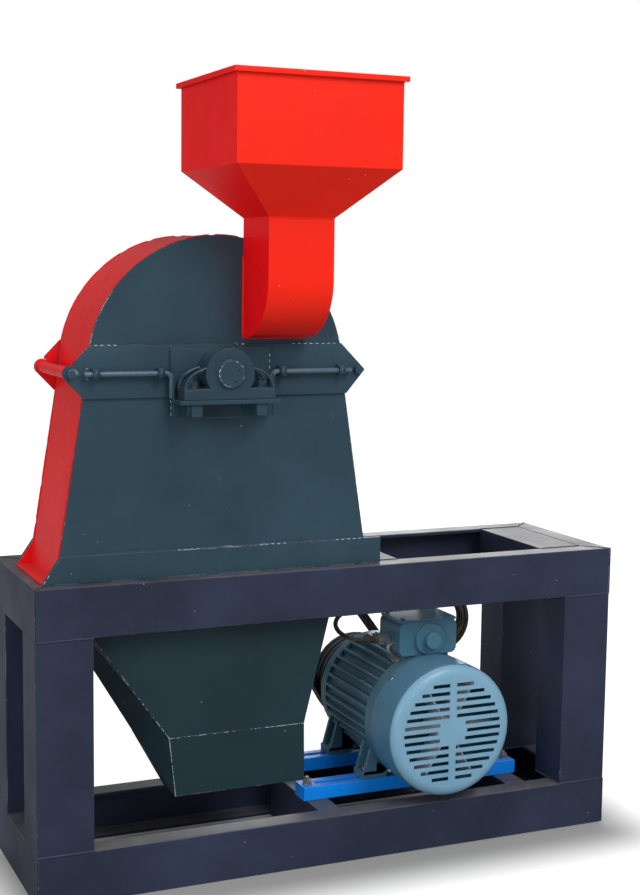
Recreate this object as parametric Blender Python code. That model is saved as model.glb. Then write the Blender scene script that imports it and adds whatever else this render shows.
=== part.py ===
"""Hammer mill on a welded channel stand, with its electric motor.

Layout axes: X to the right along the stand, Y to the back, Z up, metres.
The stand's front left bottom corner is the layout's zero; an empty moves the
whole layout so that the origin is at the middle of the bounding box's base.
"""
import math
import bmesh
import bpy
from mathutils import Matrix, Vector

# ---- clearances and facets
GAP = 0.0003              # between pieces that touch
RUN_GAP = 0.0004          # radial, between a turning shaft and its bore
LAP = 0.002               # how far two joined solids of one piece reach into each other
PASS = 0.010              # how far a cutting solid passes the surface that it cuts
ROUND = 32                # facets of shafts and bores
WIDE_ROUND = 48           # facets of large round pieces

# ---- stand
STAND_LENGTH = 1.268
STAND_DEPTH = 0.360
STAND_HEIGHT = 0.617
CHANNEL_HEIGHT = 0.100
CHANNEL_FLANGE = 0.048
CHANNEL_WEB = 0.006
CHANNEL_FLANGE_THICK = 0.008
POST_WIDTH = 0.112
POST_DEPTH = 0.102
POST_WALL = 0.005
CASING_MEMBER_X = 0.676   # left edge of the cross channel under the casing
END_MEMBER_INSET = 0.0003 # from the right beam's toes

# ---- casing
CASING_X = 0.372          # middle of the casing, and of the rotor shaft
CASING_FRONT = 0.033      # front face of the front wall
CASING_DEPTH = 0.217
CASING_WALL = 0.006
CASING_RADIUS = 0.262     # of the round top, outside
WRAP_WALL = 0.005
SPLIT_Z = 1.014           # where the cover meets the lower casing
FOOT_Z = 0.670            # where the lower sides start to flare
FOOT_HALF = 0.315         # half width of the casing there
FLARE_HALF = 0.351        # half width at the stand
BAND_HEIGHT = 0.053       # of the upper band
LOWER_BAND_HEIGHT = 0.047
BAND_THICK = 0.0057
EAR_HALF = 0.309          # half width over the ear tips
SHAFT_NOTCH = 0.026       # radius of the half round holes for the shaft

# ---- hinge and closing pin
EYE_RADIUS = 0.0155
PIN_RADIUS = 0.006
PIN_HEAD_RADIUS = 0.0088
PIN_HEAD = 0.008
HINGE_TUBE_RADIUS = 0.011
UPPER_EAR_WALL = 0.0055   # of the upper band, over the hinge eye
STRAP_THICK = 0.006       # of the strap that joins the hinge tube to the cover
STRAP_INSET = 0.020       # of the strap, from each end of the tube

# ---- feed hopper and chute
HOPPER_X = 0.4875
HOPPER_WIDTH = 0.327
HOPPER_DEPTH = 0.309
HOPPER_TOP = 1.566
HOPPER_BEND = 1.398       # where the bin starts to narrow
HOPPER_THROAT = 1.308     # where the bin meets the chute
CHUTE_WIDTH = 0.133
CHUTE_DEPTH = 0.132
CHUTE_BEND = 1.192        # where the chute's front starts to curve
CHUTE_FOOT = 1.078
SHEET = 0.003             # sheet of the hopper, chute and discharge
RIM_WIDTH = 0.008
RIM_HEIGHT = 0.010

# ---- discharge hopper
DISCHARGE_TOP = 0.605
DISCHARGE_BEND = 0.289
DISCHARGE_FOOT = 0.165
DISCHARGE_TOP_X = (0.0518, 0.644)
DISCHARGE_BEND_X = (0.277, 0.567)
DISCHARGE_FOOT_X = (0.294, 0.573)
DISCHARGE_TOP_DEPTH = 0.245
DISCHARGE_FOOT_DEPTH = 0.090
DISCHARGE_TUCK = 0.010    # how far the lower part leans back at the front

# ---- rotor
SHAFT_RADIUS = 0.020
COLLAR_RADIUS = 0.032
COLLAR_LENGTH = 0.020     # outside each disc
SHAFT_FRONT = -0.040
DISC_RADIUS = 0.105
DISC_THICK = 0.010
DISC_Y = (0.080, 0.203)   # middle of each disc
HAMMER_PIN_CIRCLE = 0.085
HAMMER_PIN_RADIUS = 0.008
HAMMER_LENGTH = 0.095     # pin to tip
HAMMER_WIDTH = 0.036
HAMMER_THICK = 0.008
HAMMER_GAP = 0.0006
SCREEN_RADIUS = 0.205
SCREEN_THICK = 0.003
SCREEN_HALF_ANGLE = 70.0

# ---- pillow block bearings
BLOCK_HALF = 0.092
BLOCK_CENTRE = 0.0492     # shaft height above the block's base
BLOCK_WIDTH = 0.050
BLOCK_FOOT = 0.019
BLOCK_RADIUS = 0.049
INSERT_RADIUS = 0.0265
INSERT_PROUD = 0.006
BLOCK_SETBACK = 0.005     # from the bearing plate
PLATE_HALF = 0.101
PLATE_TOP = 0.048         # above the split
PLATE_FOOT = 0.086        # below the split
PLATE_THICK = 0.0057
SHELF_THICK = 0.008
SHELF_OVERHANG = 0.003
GUSSET_X = 0.066
GUSSET_WIDTH = 0.022
GUSSET_HEIGHT = 0.024
GUSSET_SETBACK = 0.006    # from the shelf's lip
GUSSET_LAP = 0.001        # short of the shelf's weld to the plate

# ---- latch rods
ROD_RADIUS = 0.0055
ROD_Y = 0.013
ROD_START = 0.272         # from the casing's middle to the rod's outer end
ROD_BEND = 0.102          # from the casing's middle to the handle
ROD_HANDLE = 0.047
ROD_TURN = 0.012          # radius of the bend
BOSS_X = (0.250, 0.124)   # from the casing's middle
BOSS_WIDTH = 0.012
BOSS_HALF = 0.010

# ---- motor
MOTOR_X = 0.865
SHAFT_HEIGHT = 0.132      # of the motor, above its feet
RAIL_HEIGHT = 0.0295
RAIL_WIDTH = 0.050
RAIL_LEFT = 0.592
RAIL_RIGHT = 1.104
RAIL_SLOT = 0.013
RAIL_SLOT_INSET = 0.035
MEMBER_INSET = 0.008      # of each motor cross channel, from the rail's end
FOOT_FRONT = 0.128
FOOT_SPACING = 0.178
FOOT_HALF_SPAN = 0.108
FOOT_PAD_HALF = 0.028
FOOT_THICK = 0.016
FOOT_LENGTH = 0.046
FOOT_LIP = 0.004          # of the pad, inside its middle
FOOT_WEB_TOP = 0.075      # above the feet's base
FOOT_WEB_HALF = 0.060
FRAME_RADIUS = 0.118
FIN_RADIUS = 0.130
FINS = 36
FINS_FRONT = 0.062
FINS_BACK = 0.330
SHIELD_BACK = 0.392
SHIELD_RADIUS = 0.127
SHIELD_RIM = 0.022        # length of the shield's straight rim
SHIELD_CONE = 0.012       # length of its nose
SHIELD_SHOULDER = 0.085   # radius where the nose starts
SHIELD_NOSE = 0.050
SPIGOT_LENGTH = 0.016     # of the front shield, inside the fan cover
FAN_COVER_FRONT = -0.040
FAN_COVER_BACK = 0.060
FAN_COVER_RADIUS = 0.1405
FAN_COVER_WALL = 0.002
FAN_COVER_ROUND = 0.022
GRILLE_RADIUS = 0.113
GRILLE_PITCH = 0.0165
GRILLE_SLOT = 0.0075
GRILLE_HUB = 0.034
MOTOR_SHAFT_RADIUS = 0.019
FAN_SEAT_RADIUS = 0.015
FAN_RADIUS = 0.118
FAN_HUB_RADIUS = 0.030
FAN_BLADES = 6
FAN_BLADE_THICK = 0.003
FAN_BLADE_ROOT = 0.022    # radius where a blade starts, inside the hub
FAN_ROOM = 0.012          # from the cover's face to the hub
FAN_SEAT_ROOM = 0.018     # from the cover's back to the shaft's shoulder
FAN_HUB_ROOM = 0.004      # from that shoulder to the hub
SHAFT_TIP_ROOM = 0.008    # from the cover's face to the shaft's front end

# ---- terminal box, cable
BOX_HALF = 0.068
BOX_FRONT = 0.076
BOX_BACK = 0.174
BOX_BASE = 0.398
BOX_TOP = 0.472
BOX_CORNER = 0.014
NECK_HALF = 0.0544        # of the neck under the box
NECK_INSET = 0.012        # from the box's front and back
NECK_SINK = 0.015         # into the frame
GLAND_Z = 0.430
GLAND_RADIUS = 0.013
GLAND_LENGTH = 0.030
INLET_RADIUS = 0.034
INLET_BOSS_RADIUS = 0.018
INLET_FLANGE = 0.010      # how far the flange stands out from the box
INLET_BOSS = 0.028
INLET_RISE = 0.002        # of the flange, over the box's base
CABLE_RADIUS = 0.005
COIL_X = 0.965
COIL_Y = 0.215
COIL_RADIUS = 0.071
COIL_BORE = 0.047
COIL_HALF = 0.018
COIL_EDGE = 0.006
COIL_SLACK = 0.0004       # between the outer turn and the coil's outside
RUN_IN = 0.030            # straight cable before the coil

# ---- belt drive
ROTOR_PULLEY_RADIUS = 0.048
MOTOR_PULLEY_RADIUS = 0.100
PULLEY_WIDTH = 0.046
PULLEY_STANDOFF = 0.052   # behind the stand
PULLEY_CLEARANCE = 0.012  # the least there may be behind the motor's shield
ROTOR_SHAFT_END = 0.004   # past the pulley
MOTOR_SHAFT_END = 0.014
GROOVE_PITCH = 0.019
GROOVE_DEPTH = 0.0105
GROOVE_TOP = 0.0085       # half widths
GROOVE_FLOOR = 0.0050
BELT_SIDE_GAP = 0.0004
BELT_FLOOR_GAP = 0.0008
BELT_BACK = 0.005
BELT_LIFT = 0.001

# ---- worked out from the above
CASING_BACK = CASING_FRONT + CASING_DEPTH
CASING_MIDDLE = (CASING_FRONT + CASING_BACK) / 2
CASING_BASE = STAND_HEIGHT + GAP
HINGE_X = CASING_X - EAR_HALF + EYE_RADIUS
CLOSING_X = 2 * CASING_X - HINGE_X
BAND_FRONT = CASING_FRONT - GAP - BAND_THICK
PLATE_FRONT = BAND_FRONT - GAP - PLATE_THICK
BLOCK_BACK = PLATE_FRONT - BLOCK_SETBACK
SHELF_TOP = SPLIT_Z - BLOCK_CENTRE - GAP
MEMBER_TOP = CHANNEL_HEIGHT
RAIL_BASE = MEMBER_TOP + GAP
MOTOR_BASE = RAIL_BASE + RAIL_HEIGHT + GAP
MOTOR_Z = MOTOR_BASE + SHAFT_HEIGHT
COIL_REACH = FIN_RADIUS + COIL_RADIUS + 2 * GAP
COIL_Z = MOTOR_Z + math.sqrt(COIL_REACH ** 2 - (COIL_X - MOTOR_X) ** 2)
HOPPER_FRONT = CASING_FRONT - GAP - (CHUTE_DEPTH + HOPPER_DEPTH) / 2
PULLEY_FRONT = max(STAND_DEPTH + PULLEY_STANDOFF, SHIELD_BACK + PULLEY_CLEARANCE)
PULLEY_Y = PULLEY_FRONT + PULLEY_WIDTH / 2
SHAFT_BACK = PULLEY_FRONT + PULLEY_WIDTH + ROTOR_SHAFT_END
MOTOR_SHAFT_BACK = PULLEY_FRONT + PULLEY_WIDTH + MOTOR_SHAFT_END
ORIGIN_Y = (HOPPER_FRONT - RIM_WIDTH + MOTOR_SHAFT_BACK) / 2

COLOURS = {
    "navy": ((0.026, 0.034, 0.070), 0.45, 0.0),
    "teal": ((0.030, 0.062, 0.082), 0.50, 0.0),
    "red": ((0.800, 0.030, 0.012), 0.40, 0.0),
    "crimson": ((0.560, 0.012, 0.020), 0.45, 0.0),
    "motor": ((0.120, 0.240, 0.340), 0.40, 0.0),
    "blue": ((0.005, 0.110, 0.500), 0.45, 0.0),
    "steel": ((0.420, 0.420, 0.410), 0.35, 1.0),
    "iron": ((0.120, 0.120, 0.125), 0.60, 0.6),
    "rubber": ((0.020, 0.020, 0.020), 0.80, 0.0),
    "sheath": ((0.090, 0.070, 0.055), 0.70, 0.0),
}
BODY_AXES = {
    "stand": (0.0, 0.0, 0.0),
    "cover": (HINGE_X, 0.0, SPLIT_Z),
    "rotor": (CASING_X, 0.0, SPLIT_Z),
    "motor": (MOTOR_X, 0.0, MOTOR_Z),
    "rods": (0.0, ROD_Y, SPLIT_Z),
}


# ---- building helpers
def clear_scene():
    for old in list(bpy.data.objects):
        bpy.data.objects.remove(old, do_unlink=True)


def make_material(name):
    colour, roughness, metallic = COLOURS[name]
    material = bpy.data.materials.new(name)
    material.use_nodes = True
    shader = material.node_tree.nodes["Principled BSDF"]
    shader.inputs["Base Color"].default_value = (*colour, 1.0)
    shader.inputs["Roughness"].default_value = roughness
    shader.inputs["Metallic"].default_value = metallic
    return material


def make_bodies():
    root = bpy.data.objects.new("mill_origin", None)
    root.location = (-STAND_LENGTH / 2, -ORIGIN_Y, 0.0)
    bpy.context.collection.objects.link(root)
    bodies = {}
    for name, axis in BODY_AXES.items():
        empty = bpy.data.objects.new(name + "_axis", None)
        empty.parent = root
        empty.location = axis
        bpy.context.collection.objects.link(empty)
        bodies[name] = empty
    return bodies


def node_from(bm, name, colour, body, at=(0.0, 0.0, 0.0), turn=(0.0, 0.0, 0.0)):
    """Turn a bmesh into a named object, placed in the layout's axes."""
    bmesh.ops.recalc_face_normals(bm, faces=bm.faces)
    mesh = bpy.data.meshes.new(name)
    bm.to_mesh(mesh)
    bm.free()
    node = bpy.data.objects.new(name, mesh)
    mesh.materials.append(MATERIALS[colour])
    node.parent = BODIES[body]
    node.location = Vector(at) - Vector(BODY_AXES[body])
    node.rotation_euler = [math.radians(angle) for angle in turn]
    bpy.context.collection.objects.link(node)
    return node


def prism_mesh(outline, low, high, along="Y"):
    """Extrude an outline: (x, z) along Y, (y, z) along X or (x, y) along Z."""
    orders = {"Y": (0, 2, 1), "X": (1, 2, 0), "Z": (0, 1, 2)}
    first, second, depth = orders[along]
    bm = bmesh.new()
    rings = []
    for level in (low, high):
        ring = []
        for point in outline:
            place = [0.0, 0.0, 0.0]
            place[first], place[second], place[depth] = point[0], point[1], level
            ring.append(bm.verts.new(place))
        rings.append(ring)
        bm.faces.new(ring)
    join_rings(bm, rings[0], rings[1])
    return bm


def join_rings(bm, ring, other):
    count = len(ring)
    for i in range(count):
        j = (i + 1) % count
        bm.faces.new((ring[i], ring[j], other[j], other[i]))


def turned_mesh(profile, steps=ROUND, bored=False):
    """Turn (radius, height) points about Z; a bored profile closes on itself."""
    bm = bmesh.new()
    rings = []
    for radius, height in profile:
        ring = []
        for i in range(steps):
            angle = 2 * math.pi * i / steps
            ring.append(bm.verts.new((radius * math.cos(angle), radius * math.sin(angle), height)))
        rings.append(ring)
    for ring, other in zip(rings, rings[1:]):
        join_rings(bm, ring, other)
    if bored:
        join_rings(bm, rings[-1], rings[0])
    else:
        bm.faces.new(rings[0])
        bm.faces.new(rings[-1])
    return bm


def duct_mesh(sections, wall):
    """An open tube through rectangles (z, x0, x1, y0, y1), listed downwards."""
    return tapered_duct_mesh([(*section, section[1]) for section in sections], wall)


def tapered_duct_mesh(sections, wall):
    """The same through (z, x0, x1, y0, y1, back_x0), whose left side is folded where it twists."""
    bm = bmesh.new()
    rings = []
    inner = []
    for z, x0, x1, y0, y1, back_x0 in reversed(sections):
        inner.append((z, x0 + wall, x1 - wall, y0 + wall, y1 - wall, back_x0 + wall))
    for z, x0, x1, y0, y1, back_x0 in list(sections) + inner:
        corners = ((x0, y0), (x1, y0), (x1, y1), (back_x0, y1))
        rings.append([bm.verts.new((x, y, z)) for x, y in corners])
    for ring, other in zip(rings, rings[1:] + rings[:1]):
        join_rings(bm, ring, other)
        upper, lower = (ring, other) if ring[0].co.z > other[0].co.z else (other, ring)
        twist = (upper[3].co.x - upper[0].co.x) - (lower[3].co.x - lower[0].co.x)
        if abs(twist) > GAP:
            bmesh.ops.connect_verts(bm, verts=(upper[3], lower[0]))
    return bm


def box_mesh(low, high):
    outline = ((low[0], low[1]), (high[0], low[1]), (high[0], high[1]), (low[0], high[1]))
    return prism_mesh(outline, low[2], high[2], along="Z")


def arc(centre, radius, start, end, steps):
    """Points on a circle from one angle to another, in degrees."""
    points = []
    for i in range(steps + 1):
        angle = math.radians(start + (end - start) * i / steps)
        points.append((centre[0] + radius * math.cos(angle), centre[1] + radius * math.sin(angle)))
    return points


def smooth(node):
    node.data.shade_smooth()
    node.data.set_sharp_from_angle(angle=math.radians(35))
    return node


def turned_along_y(name, profile, colour, body, x, z, steps=ROUND, bored=False):
    bm = turned_mesh(profile, steps, bored)
    return smooth(node_from(bm, name, colour, body, (x, 0.0, z), (-90, 0, 0)))


def combine(node, tool_bm, operation, at=(0.0, 0.0, 0.0), turn=(0.0, 0.0, 0.0), body="stand"):
    """Join a tool solid to a node, or cut it out of it."""
    index = sum(1 for m in node.modifiers if m.type == "BOOLEAN")
    tool = node_from(tool_bm, f"{node.name}_tool{index}", "steel", body, at, turn)
    tool.hide_render = True
    tool.display_type = "WIRE"
    modifier = node.modifiers.new("combine", "BOOLEAN")
    modifier.operation = operation
    modifier.solver = "EXACT"
    modifier.object = tool
    return node


def mirrored(low, high):
    """A Y range on the casing's front, mirrored to its back."""
    return 2 * CASING_MIDDLE - high, 2 * CASING_MIDDLE - low


def mirrored_x(points):
    return [(2 * CASING_X - x, z) for x, z in reversed(points)]


# ---- stand
def channel_profile():
    """(inward, up) points of a channel with its web outside."""
    return (
        (0.0, 0.0),
        (CHANNEL_FLANGE, 0.0),
        (CHANNEL_FLANGE, CHANNEL_FLANGE_THICK),
        (CHANNEL_WEB, CHANNEL_FLANGE_THICK),
        (CHANNEL_WEB, CHANNEL_HEIGHT - CHANNEL_FLANGE_THICK),
        (CHANNEL_FLANGE, CHANNEL_HEIGHT - CHANNEL_FLANGE_THICK),
        (CHANNEL_FLANGE, CHANNEL_HEIGHT),
        (0.0, CHANNEL_HEIGHT),
    )


def mitred_channel(name, length, at, turn):
    bm = bmesh.new()
    rings = []
    for side in (0, 1):
        ring = []
        for inward, up in channel_profile():
            along = inward + GAP if side == 0 else length - inward - GAP
            ring.append(bm.verts.new((along, inward, up)))
        rings.append(ring)
        bm.faces.new(ring)
    join_rings(bm, rings[0], rings[1])
    return node_from(bm, name, "navy", "stand", at, (0, 0, turn))


def channel_ring(prefix, base):
    mitred_channel(prefix + "_beam_front", STAND_LENGTH, (0, 0, base), 0)
    mitred_channel(prefix + "_beam_back", STAND_LENGTH, (STAND_LENGTH, STAND_DEPTH, base), 180)
    mitred_channel(prefix + "_beam_left", STAND_DEPTH, (0, STAND_DEPTH, base), -90)
    mitred_channel(prefix + "_beam_right", STAND_DEPTH, (STAND_LENGTH, 0, base), 90)


def build_posts():
    low = CHANNEL_HEIGHT + GAP
    high = STAND_HEIGHT - CHANNEL_HEIGHT - GAP
    for side, x0 in (("left", 0.0), ("right", STAND_LENGTH - POST_WIDTH)):
        for place, y0 in (("front", 0.0), ("back", STAND_DEPTH - POST_DEPTH)):
            x1, y1 = x0 + POST_WIDTH, y0 + POST_DEPTH
            bm = duct_mesh([(high, x0, x1, y0, y1), (low, x0, x1, y0, y1)], POST_WALL)
            node_from(bm, f"post_{place}_{side}", "navy", "stand")


def flat_channel(name, x0, top):
    """A channel between the front and back beams, lying with its web on top."""
    x1, base = x0 + CHANNEL_HEIGHT, top - CHANNEL_FLANGE
    outline = (
        (x0, base),
        (x0 + CHANNEL_FLANGE_THICK, base),
        (x0 + CHANNEL_FLANGE_THICK, top - CHANNEL_WEB),
        (x1 - CHANNEL_FLANGE_THICK, top - CHANNEL_WEB),
        (x1 - CHANNEL_FLANGE_THICK, base),
        (x1, base),
        (x1, top),
        (x0, top),
    )
    low, high = CHANNEL_FLANGE + GAP, STAND_DEPTH - CHANNEL_FLANGE - GAP
    node_from(prism_mesh(outline, low, high), name, "navy", "stand")


def upright_channel(name, x0, facing):
    """A channel between the base beams, its web upright; facing is 1 or -1."""
    outline = [(x0 + facing * inward, up) for inward, up in channel_profile()]
    low, high = CHANNEL_FLANGE + GAP, STAND_DEPTH - CHANNEL_FLANGE - GAP
    node_from(prism_mesh(outline, low, high), name, "navy", "stand")


def build_stand():
    channel_ring("base", 0.0)
    channel_ring("top", STAND_HEIGHT - CHANNEL_HEIGHT)
    build_posts()
    flat_channel("casing_crossmember", CASING_MEMBER_X, STAND_HEIGHT)
    end_x = STAND_LENGTH - CHANNEL_FLANGE - END_MEMBER_INSET - CHANNEL_HEIGHT
    flat_channel("end_crossmember", end_x, STAND_HEIGHT)
    upright_channel("motor_crossmember_left", RAIL_LEFT + MEMBER_INSET, 1)
    upright_channel("motor_crossmember_right", RAIL_RIGHT - MEMBER_INSET, -1)


# ---- lower casing
def lower_wall_outline():
    base, top = CASING_BASE, SPLIT_Z - GAP
    right = [
        (CASING_X + FLARE_HALF, base),
        (CASING_X + FOOT_HALF, FOOT_Z),
        (CASING_X + CASING_RADIUS, top),
    ]
    notch = arc((CASING_X, SPLIT_Z), SHAFT_NOTCH, -1, -179, 16)
    return right + notch + mirrored_x(right)


def base_strip_outline():
    right = [(CASING_X + FLARE_HALF, CASING_BASE), (CASING_X + FOOT_HALF, FOOT_Z)]
    return right + mirrored_x(right)


def lower_side_outline():
    """A side plate straight down to the stand, with a foot turned out between the flares."""
    base, top = CASING_BASE, SPLIT_Z - GAP
    foot = FOOT_HALF + side_lean() * (FOOT_Z - base)
    return [
        (CASING_X + CASING_RADIUS, top),
        (CASING_X + CASING_RADIUS - WRAP_WALL, top),
        (CASING_X + foot - WRAP_WALL, base),
        (CASING_X + FLARE_HALF, base),
        (CASING_X + FLARE_HALF, base + WRAP_WALL),
        (CASING_X + foot - side_lean() * WRAP_WALL, base + WRAP_WALL),
    ]


def side_lean():
    """How far the lower casing widens for each metre down."""
    return (FOOT_HALF - CASING_RADIUS) / (SPLIT_Z - FOOT_Z)


def build_lower_casing():
    outline = lower_wall_outline()
    front = (CASING_FRONT, CASING_FRONT + CASING_WALL)
    strip = (BAND_FRONT, CASING_FRONT + CASING_WALL / 2)
    for name, wall, base in (("front", front, strip), ("back", mirrored(*front), mirrored(*strip))):
        node = node_from(prism_mesh(outline, *wall), f"lower_{name}_wall", "teal", "stand")
        combine(node, prism_mesh(base_strip_outline(), *base), "UNION")
    low, high = CASING_FRONT + CASING_WALL + GAP, CASING_BACK - CASING_WALL - GAP
    side = lower_side_outline()
    node_from(prism_mesh(side, low, high), "lower_right_side", "crimson", "stand")
    node_from(prism_mesh(mirrored_x(side), low, high), "lower_left_side", "crimson", "stand")


def lower_band_outline():
    """The flange below the split, with a round hinge eye and a pointed ear."""
    top, base = SPLIT_Z - GAP, SPLIT_Z - LOWER_BAND_HEIGHT
    reach = FOOT_HALF - side_lean() * (base - FOOT_Z)
    eye = arc((HINGE_X, SPLIT_Z), EYE_RADIUS, 0, 215, 20)
    notch = arc((CASING_X, SPLIT_Z), SHAFT_NOTCH, -179, -1, 16)
    closing = arc((CLOSING_X, SPLIT_Z), PIN_RADIUS + RUN_GAP, -177, -3, 8)
    right = [(CASING_X + EAR_HALF, top), (CASING_X + reach, base), (CASING_X - reach, base)]
    return [(HINGE_X + EYE_RADIUS, top)] + notch + closing + right + eye[::-1][:-1]


def build_lower_bands():
    outline = lower_band_outline()
    front = (BAND_FRONT, CASING_FRONT - GAP)
    bands = []
    for name, (low, high) in (("lower_band_front", front), ("lower_band_back", mirrored(*front))):
        band = node_from(prism_mesh(outline, low, high), name, "teal", "stand")
        radius = PIN_RADIUS + RUN_GAP
        bore = turned_mesh([(radius, low - PASS), (radius, high + PASS)], 24)
        combine(band, bore, "DIFFERENCE", (HINGE_X, 0, SPLIT_Z), (-90, 0, 0))
        bands.append(band)
    for side in (-1, 1):
        for reach in BOSS_X:
            add_rod_boss(bands[0], CASING_X + side * reach)


def add_rod_boss(band, x):
    low = (x - BOSS_WIDTH / 2, ROD_Y - BOSS_HALF, SPLIT_Z - BOSS_HALF)
    high = (x + BOSS_WIDTH / 2, BAND_FRONT - GAP, SPLIT_Z + BOSS_HALF)
    combine(band, box_mesh(low, high), "UNION")
    leg_low = (low[0], BAND_FRONT - LAP, low[2])
    leg_high = (high[0], BAND_FRONT + LAP, SPLIT_Z - 2 * GAP)
    combine(band, box_mesh(leg_low, leg_high), "UNION")
    bore = turned_mesh([(ROD_RADIUS + RUN_GAP, -BOSS_WIDTH), (ROD_RADIUS + RUN_GAP, BOSS_WIDTH)], 24)
    combine(band, bore, "DIFFERENCE", (x, ROD_Y, SPLIT_Z), (0, 90, 0))


# ---- cover
def upper_wall_outline():
    centre = (CASING_X, SPLIT_Z)
    lift = math.degrees(GAP / CASING_RADIUS)
    dome = arc(centre, CASING_RADIUS, lift, 180 - lift, WIDE_ROUND)
    return dome + arc(centre, SHAFT_NOTCH, 179, 1, 16)


def wrap_outline():
    centre = (CASING_X, SPLIT_Z)
    lift = math.degrees(GAP / CASING_RADIUS)
    outer = arc(centre, CASING_RADIUS, lift, 180 - lift, WIDE_ROUND)
    return outer + arc(centre, CASING_RADIUS - WRAP_WALL, 180 - lift, lift, WIDE_ROUND)


def upper_band_outline():
    """The flange above the split; its left end clears the hinge eye."""
    base, top = SPLIT_Z + GAP, SPLIT_Z + BAND_HEIGHT
    reach = math.sqrt(CASING_RADIUS ** 2 - BAND_HEIGHT ** 2)
    clear = EYE_RADIUS + 2 * GAP
    swing = arc((HINGE_X, SPLIT_Z), clear, 75, 2, 8)
    ear = arc((HINGE_X, SPLIT_Z), clear + UPPER_EAR_WALL, 75, 75, 1)[:1]
    notch = arc((CASING_X, SPLIT_Z), SHAFT_NOTCH, 179, 1, 16)
    closing = arc((CLOSING_X, SPLIT_Z), PIN_RADIUS + RUN_GAP, 177, 3, 8)
    right = [(CASING_X + EAR_HALF, base), (CASING_X + reach, top), (CASING_X - reach, top)]
    return swing + notch + closing + right + ear


def build_cover():
    outline = upper_wall_outline()
    front = (CASING_FRONT, CASING_FRONT + CASING_WALL)
    walls = []
    for name, (low, high) in (("upper_front_wall", front), ("upper_back_wall", mirrored(*front))):
        walls.append(node_from(prism_mesh(outline, low, high), name, "teal", "cover"))
    inlet_low = (HOPPER_X - CHUTE_WIDTH / 2 + SHEET, CASING_FRONT - PASS, CHUTE_FOOT + SHEET)
    inlet_high = (HOPPER_X + CHUTE_WIDTH / 2 - SHEET, CASING_FRONT + 2 * PASS, inlet_top())
    combine(walls[0], box_mesh(inlet_low, inlet_high), "DIFFERENCE", body="cover")
    low, high = CASING_FRONT + CASING_WALL + GAP, CASING_BACK - CASING_WALL - GAP
    smooth(node_from(prism_mesh(wrap_outline(), low, high), "upper_wrap", "crimson", "cover"))
    front = (BAND_FRONT, CASING_FRONT - GAP)
    plate = (PLATE_FRONT, BAND_FRONT + BAND_THICK / 2)
    for name, band, boss in (("front", front, plate), ("back", mirrored(*front), mirrored(*plate))):
        node = node_from(prism_mesh(upper_band_outline(), *band), f"upper_band_{name}", "teal", "cover")
        combine(node, prism_mesh(plate_outline(1), *boss), "UNION", body="cover")


def inlet_top():
    """The highest the inlet can reach under the round top."""
    reach = HOPPER_X + CHUTE_WIDTH / 2 - CASING_X
    return SPLIT_Z + math.sqrt(CASING_RADIUS ** 2 - reach ** 2) - 3 * WRAP_WALL


def build_hinge():
    front = BAND_FRONT - 2 * GAP
    back = 2 * CASING_MIDDLE - front
    profile = [
        (PIN_HEAD_RADIUS, front - PIN_HEAD),
        (PIN_HEAD_RADIUS, front),
        (PIN_RADIUS, front),
        (PIN_RADIUS, back),
        (PIN_HEAD_RADIUS, back),
        (PIN_HEAD_RADIUS, back + PIN_HEAD),
    ]
    turned_along_y("hinge_pin", profile, "iron", "stand", HINGE_X, SPLIT_Z, 24)
    turned_along_y("closing_pin", profile, "iron", "cover", CLOSING_X, SPLIT_Z, 24)
    bore = PIN_RADIUS + RUN_GAP
    low, high = CASING_FRONT + GAP, CASING_BACK - GAP
    tube = [(bore, low), (HINGE_TUBE_RADIUS, low), (HINGE_TUBE_RADIUS, high), (bore, high)]
    node = turned_along_y("hinge_tube", tube, "crimson", "cover", HINGE_X, SPLIT_Z, 24, bored=True)
    strap_low = (HINGE_X + HINGE_TUBE_RADIUS - 1.5 * LAP, low + STRAP_INSET, SPLIT_Z + 2 * GAP)
    strap_high = (CASING_X - CASING_RADIUS - GAP, high - STRAP_INSET, SPLIT_Z + STRAP_THICK)
    combine(node, box_mesh(strap_low, strap_high), "UNION", body="cover")


# ---- feed hopper and chute
def chute_outline(inset):
    """(y, z) outline of the chute's side, or of its inside."""
    back = CASING_FRONT - GAP - inset
    front = CASING_FRONT - GAP - CHUTE_DEPTH + inset
    depth, drop = back - front, CHUTE_BEND - CHUTE_FOOT - inset
    points = [(back, HOPPER_THROAT - GAP + 4 * inset), (front, HOPPER_THROAT - GAP + 4 * inset)]
    for i in range(13):
        angle = math.radians(90 * i / 12)
        points.append((back - depth * math.cos(angle), CHUTE_BEND - drop * math.sin(angle)))
    return points


def build_chute():
    x0, x1 = HOPPER_X - CHUTE_WIDTH / 2, HOPPER_X + CHUTE_WIDTH / 2
    chute = node_from(prism_mesh(chute_outline(0.0), x0, x1, along="X"), "feed_chute", "red", "cover")
    inside = prism_mesh(chute_outline(SHEET), x0 + SHEET, x1 - SHEET, along="X")
    combine(chute, inside, "DIFFERENCE", body="cover")
    low = (x0 + SHEET, CASING_FRONT - 3 * SHEET, CHUTE_FOOT + SHEET + GAP)
    high = (x1 - SHEET, CASING_FRONT + SHEET, inlet_top())
    combine(chute, box_mesh(low, high), "DIFFERENCE", body="cover")
    smooth(chute)


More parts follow.
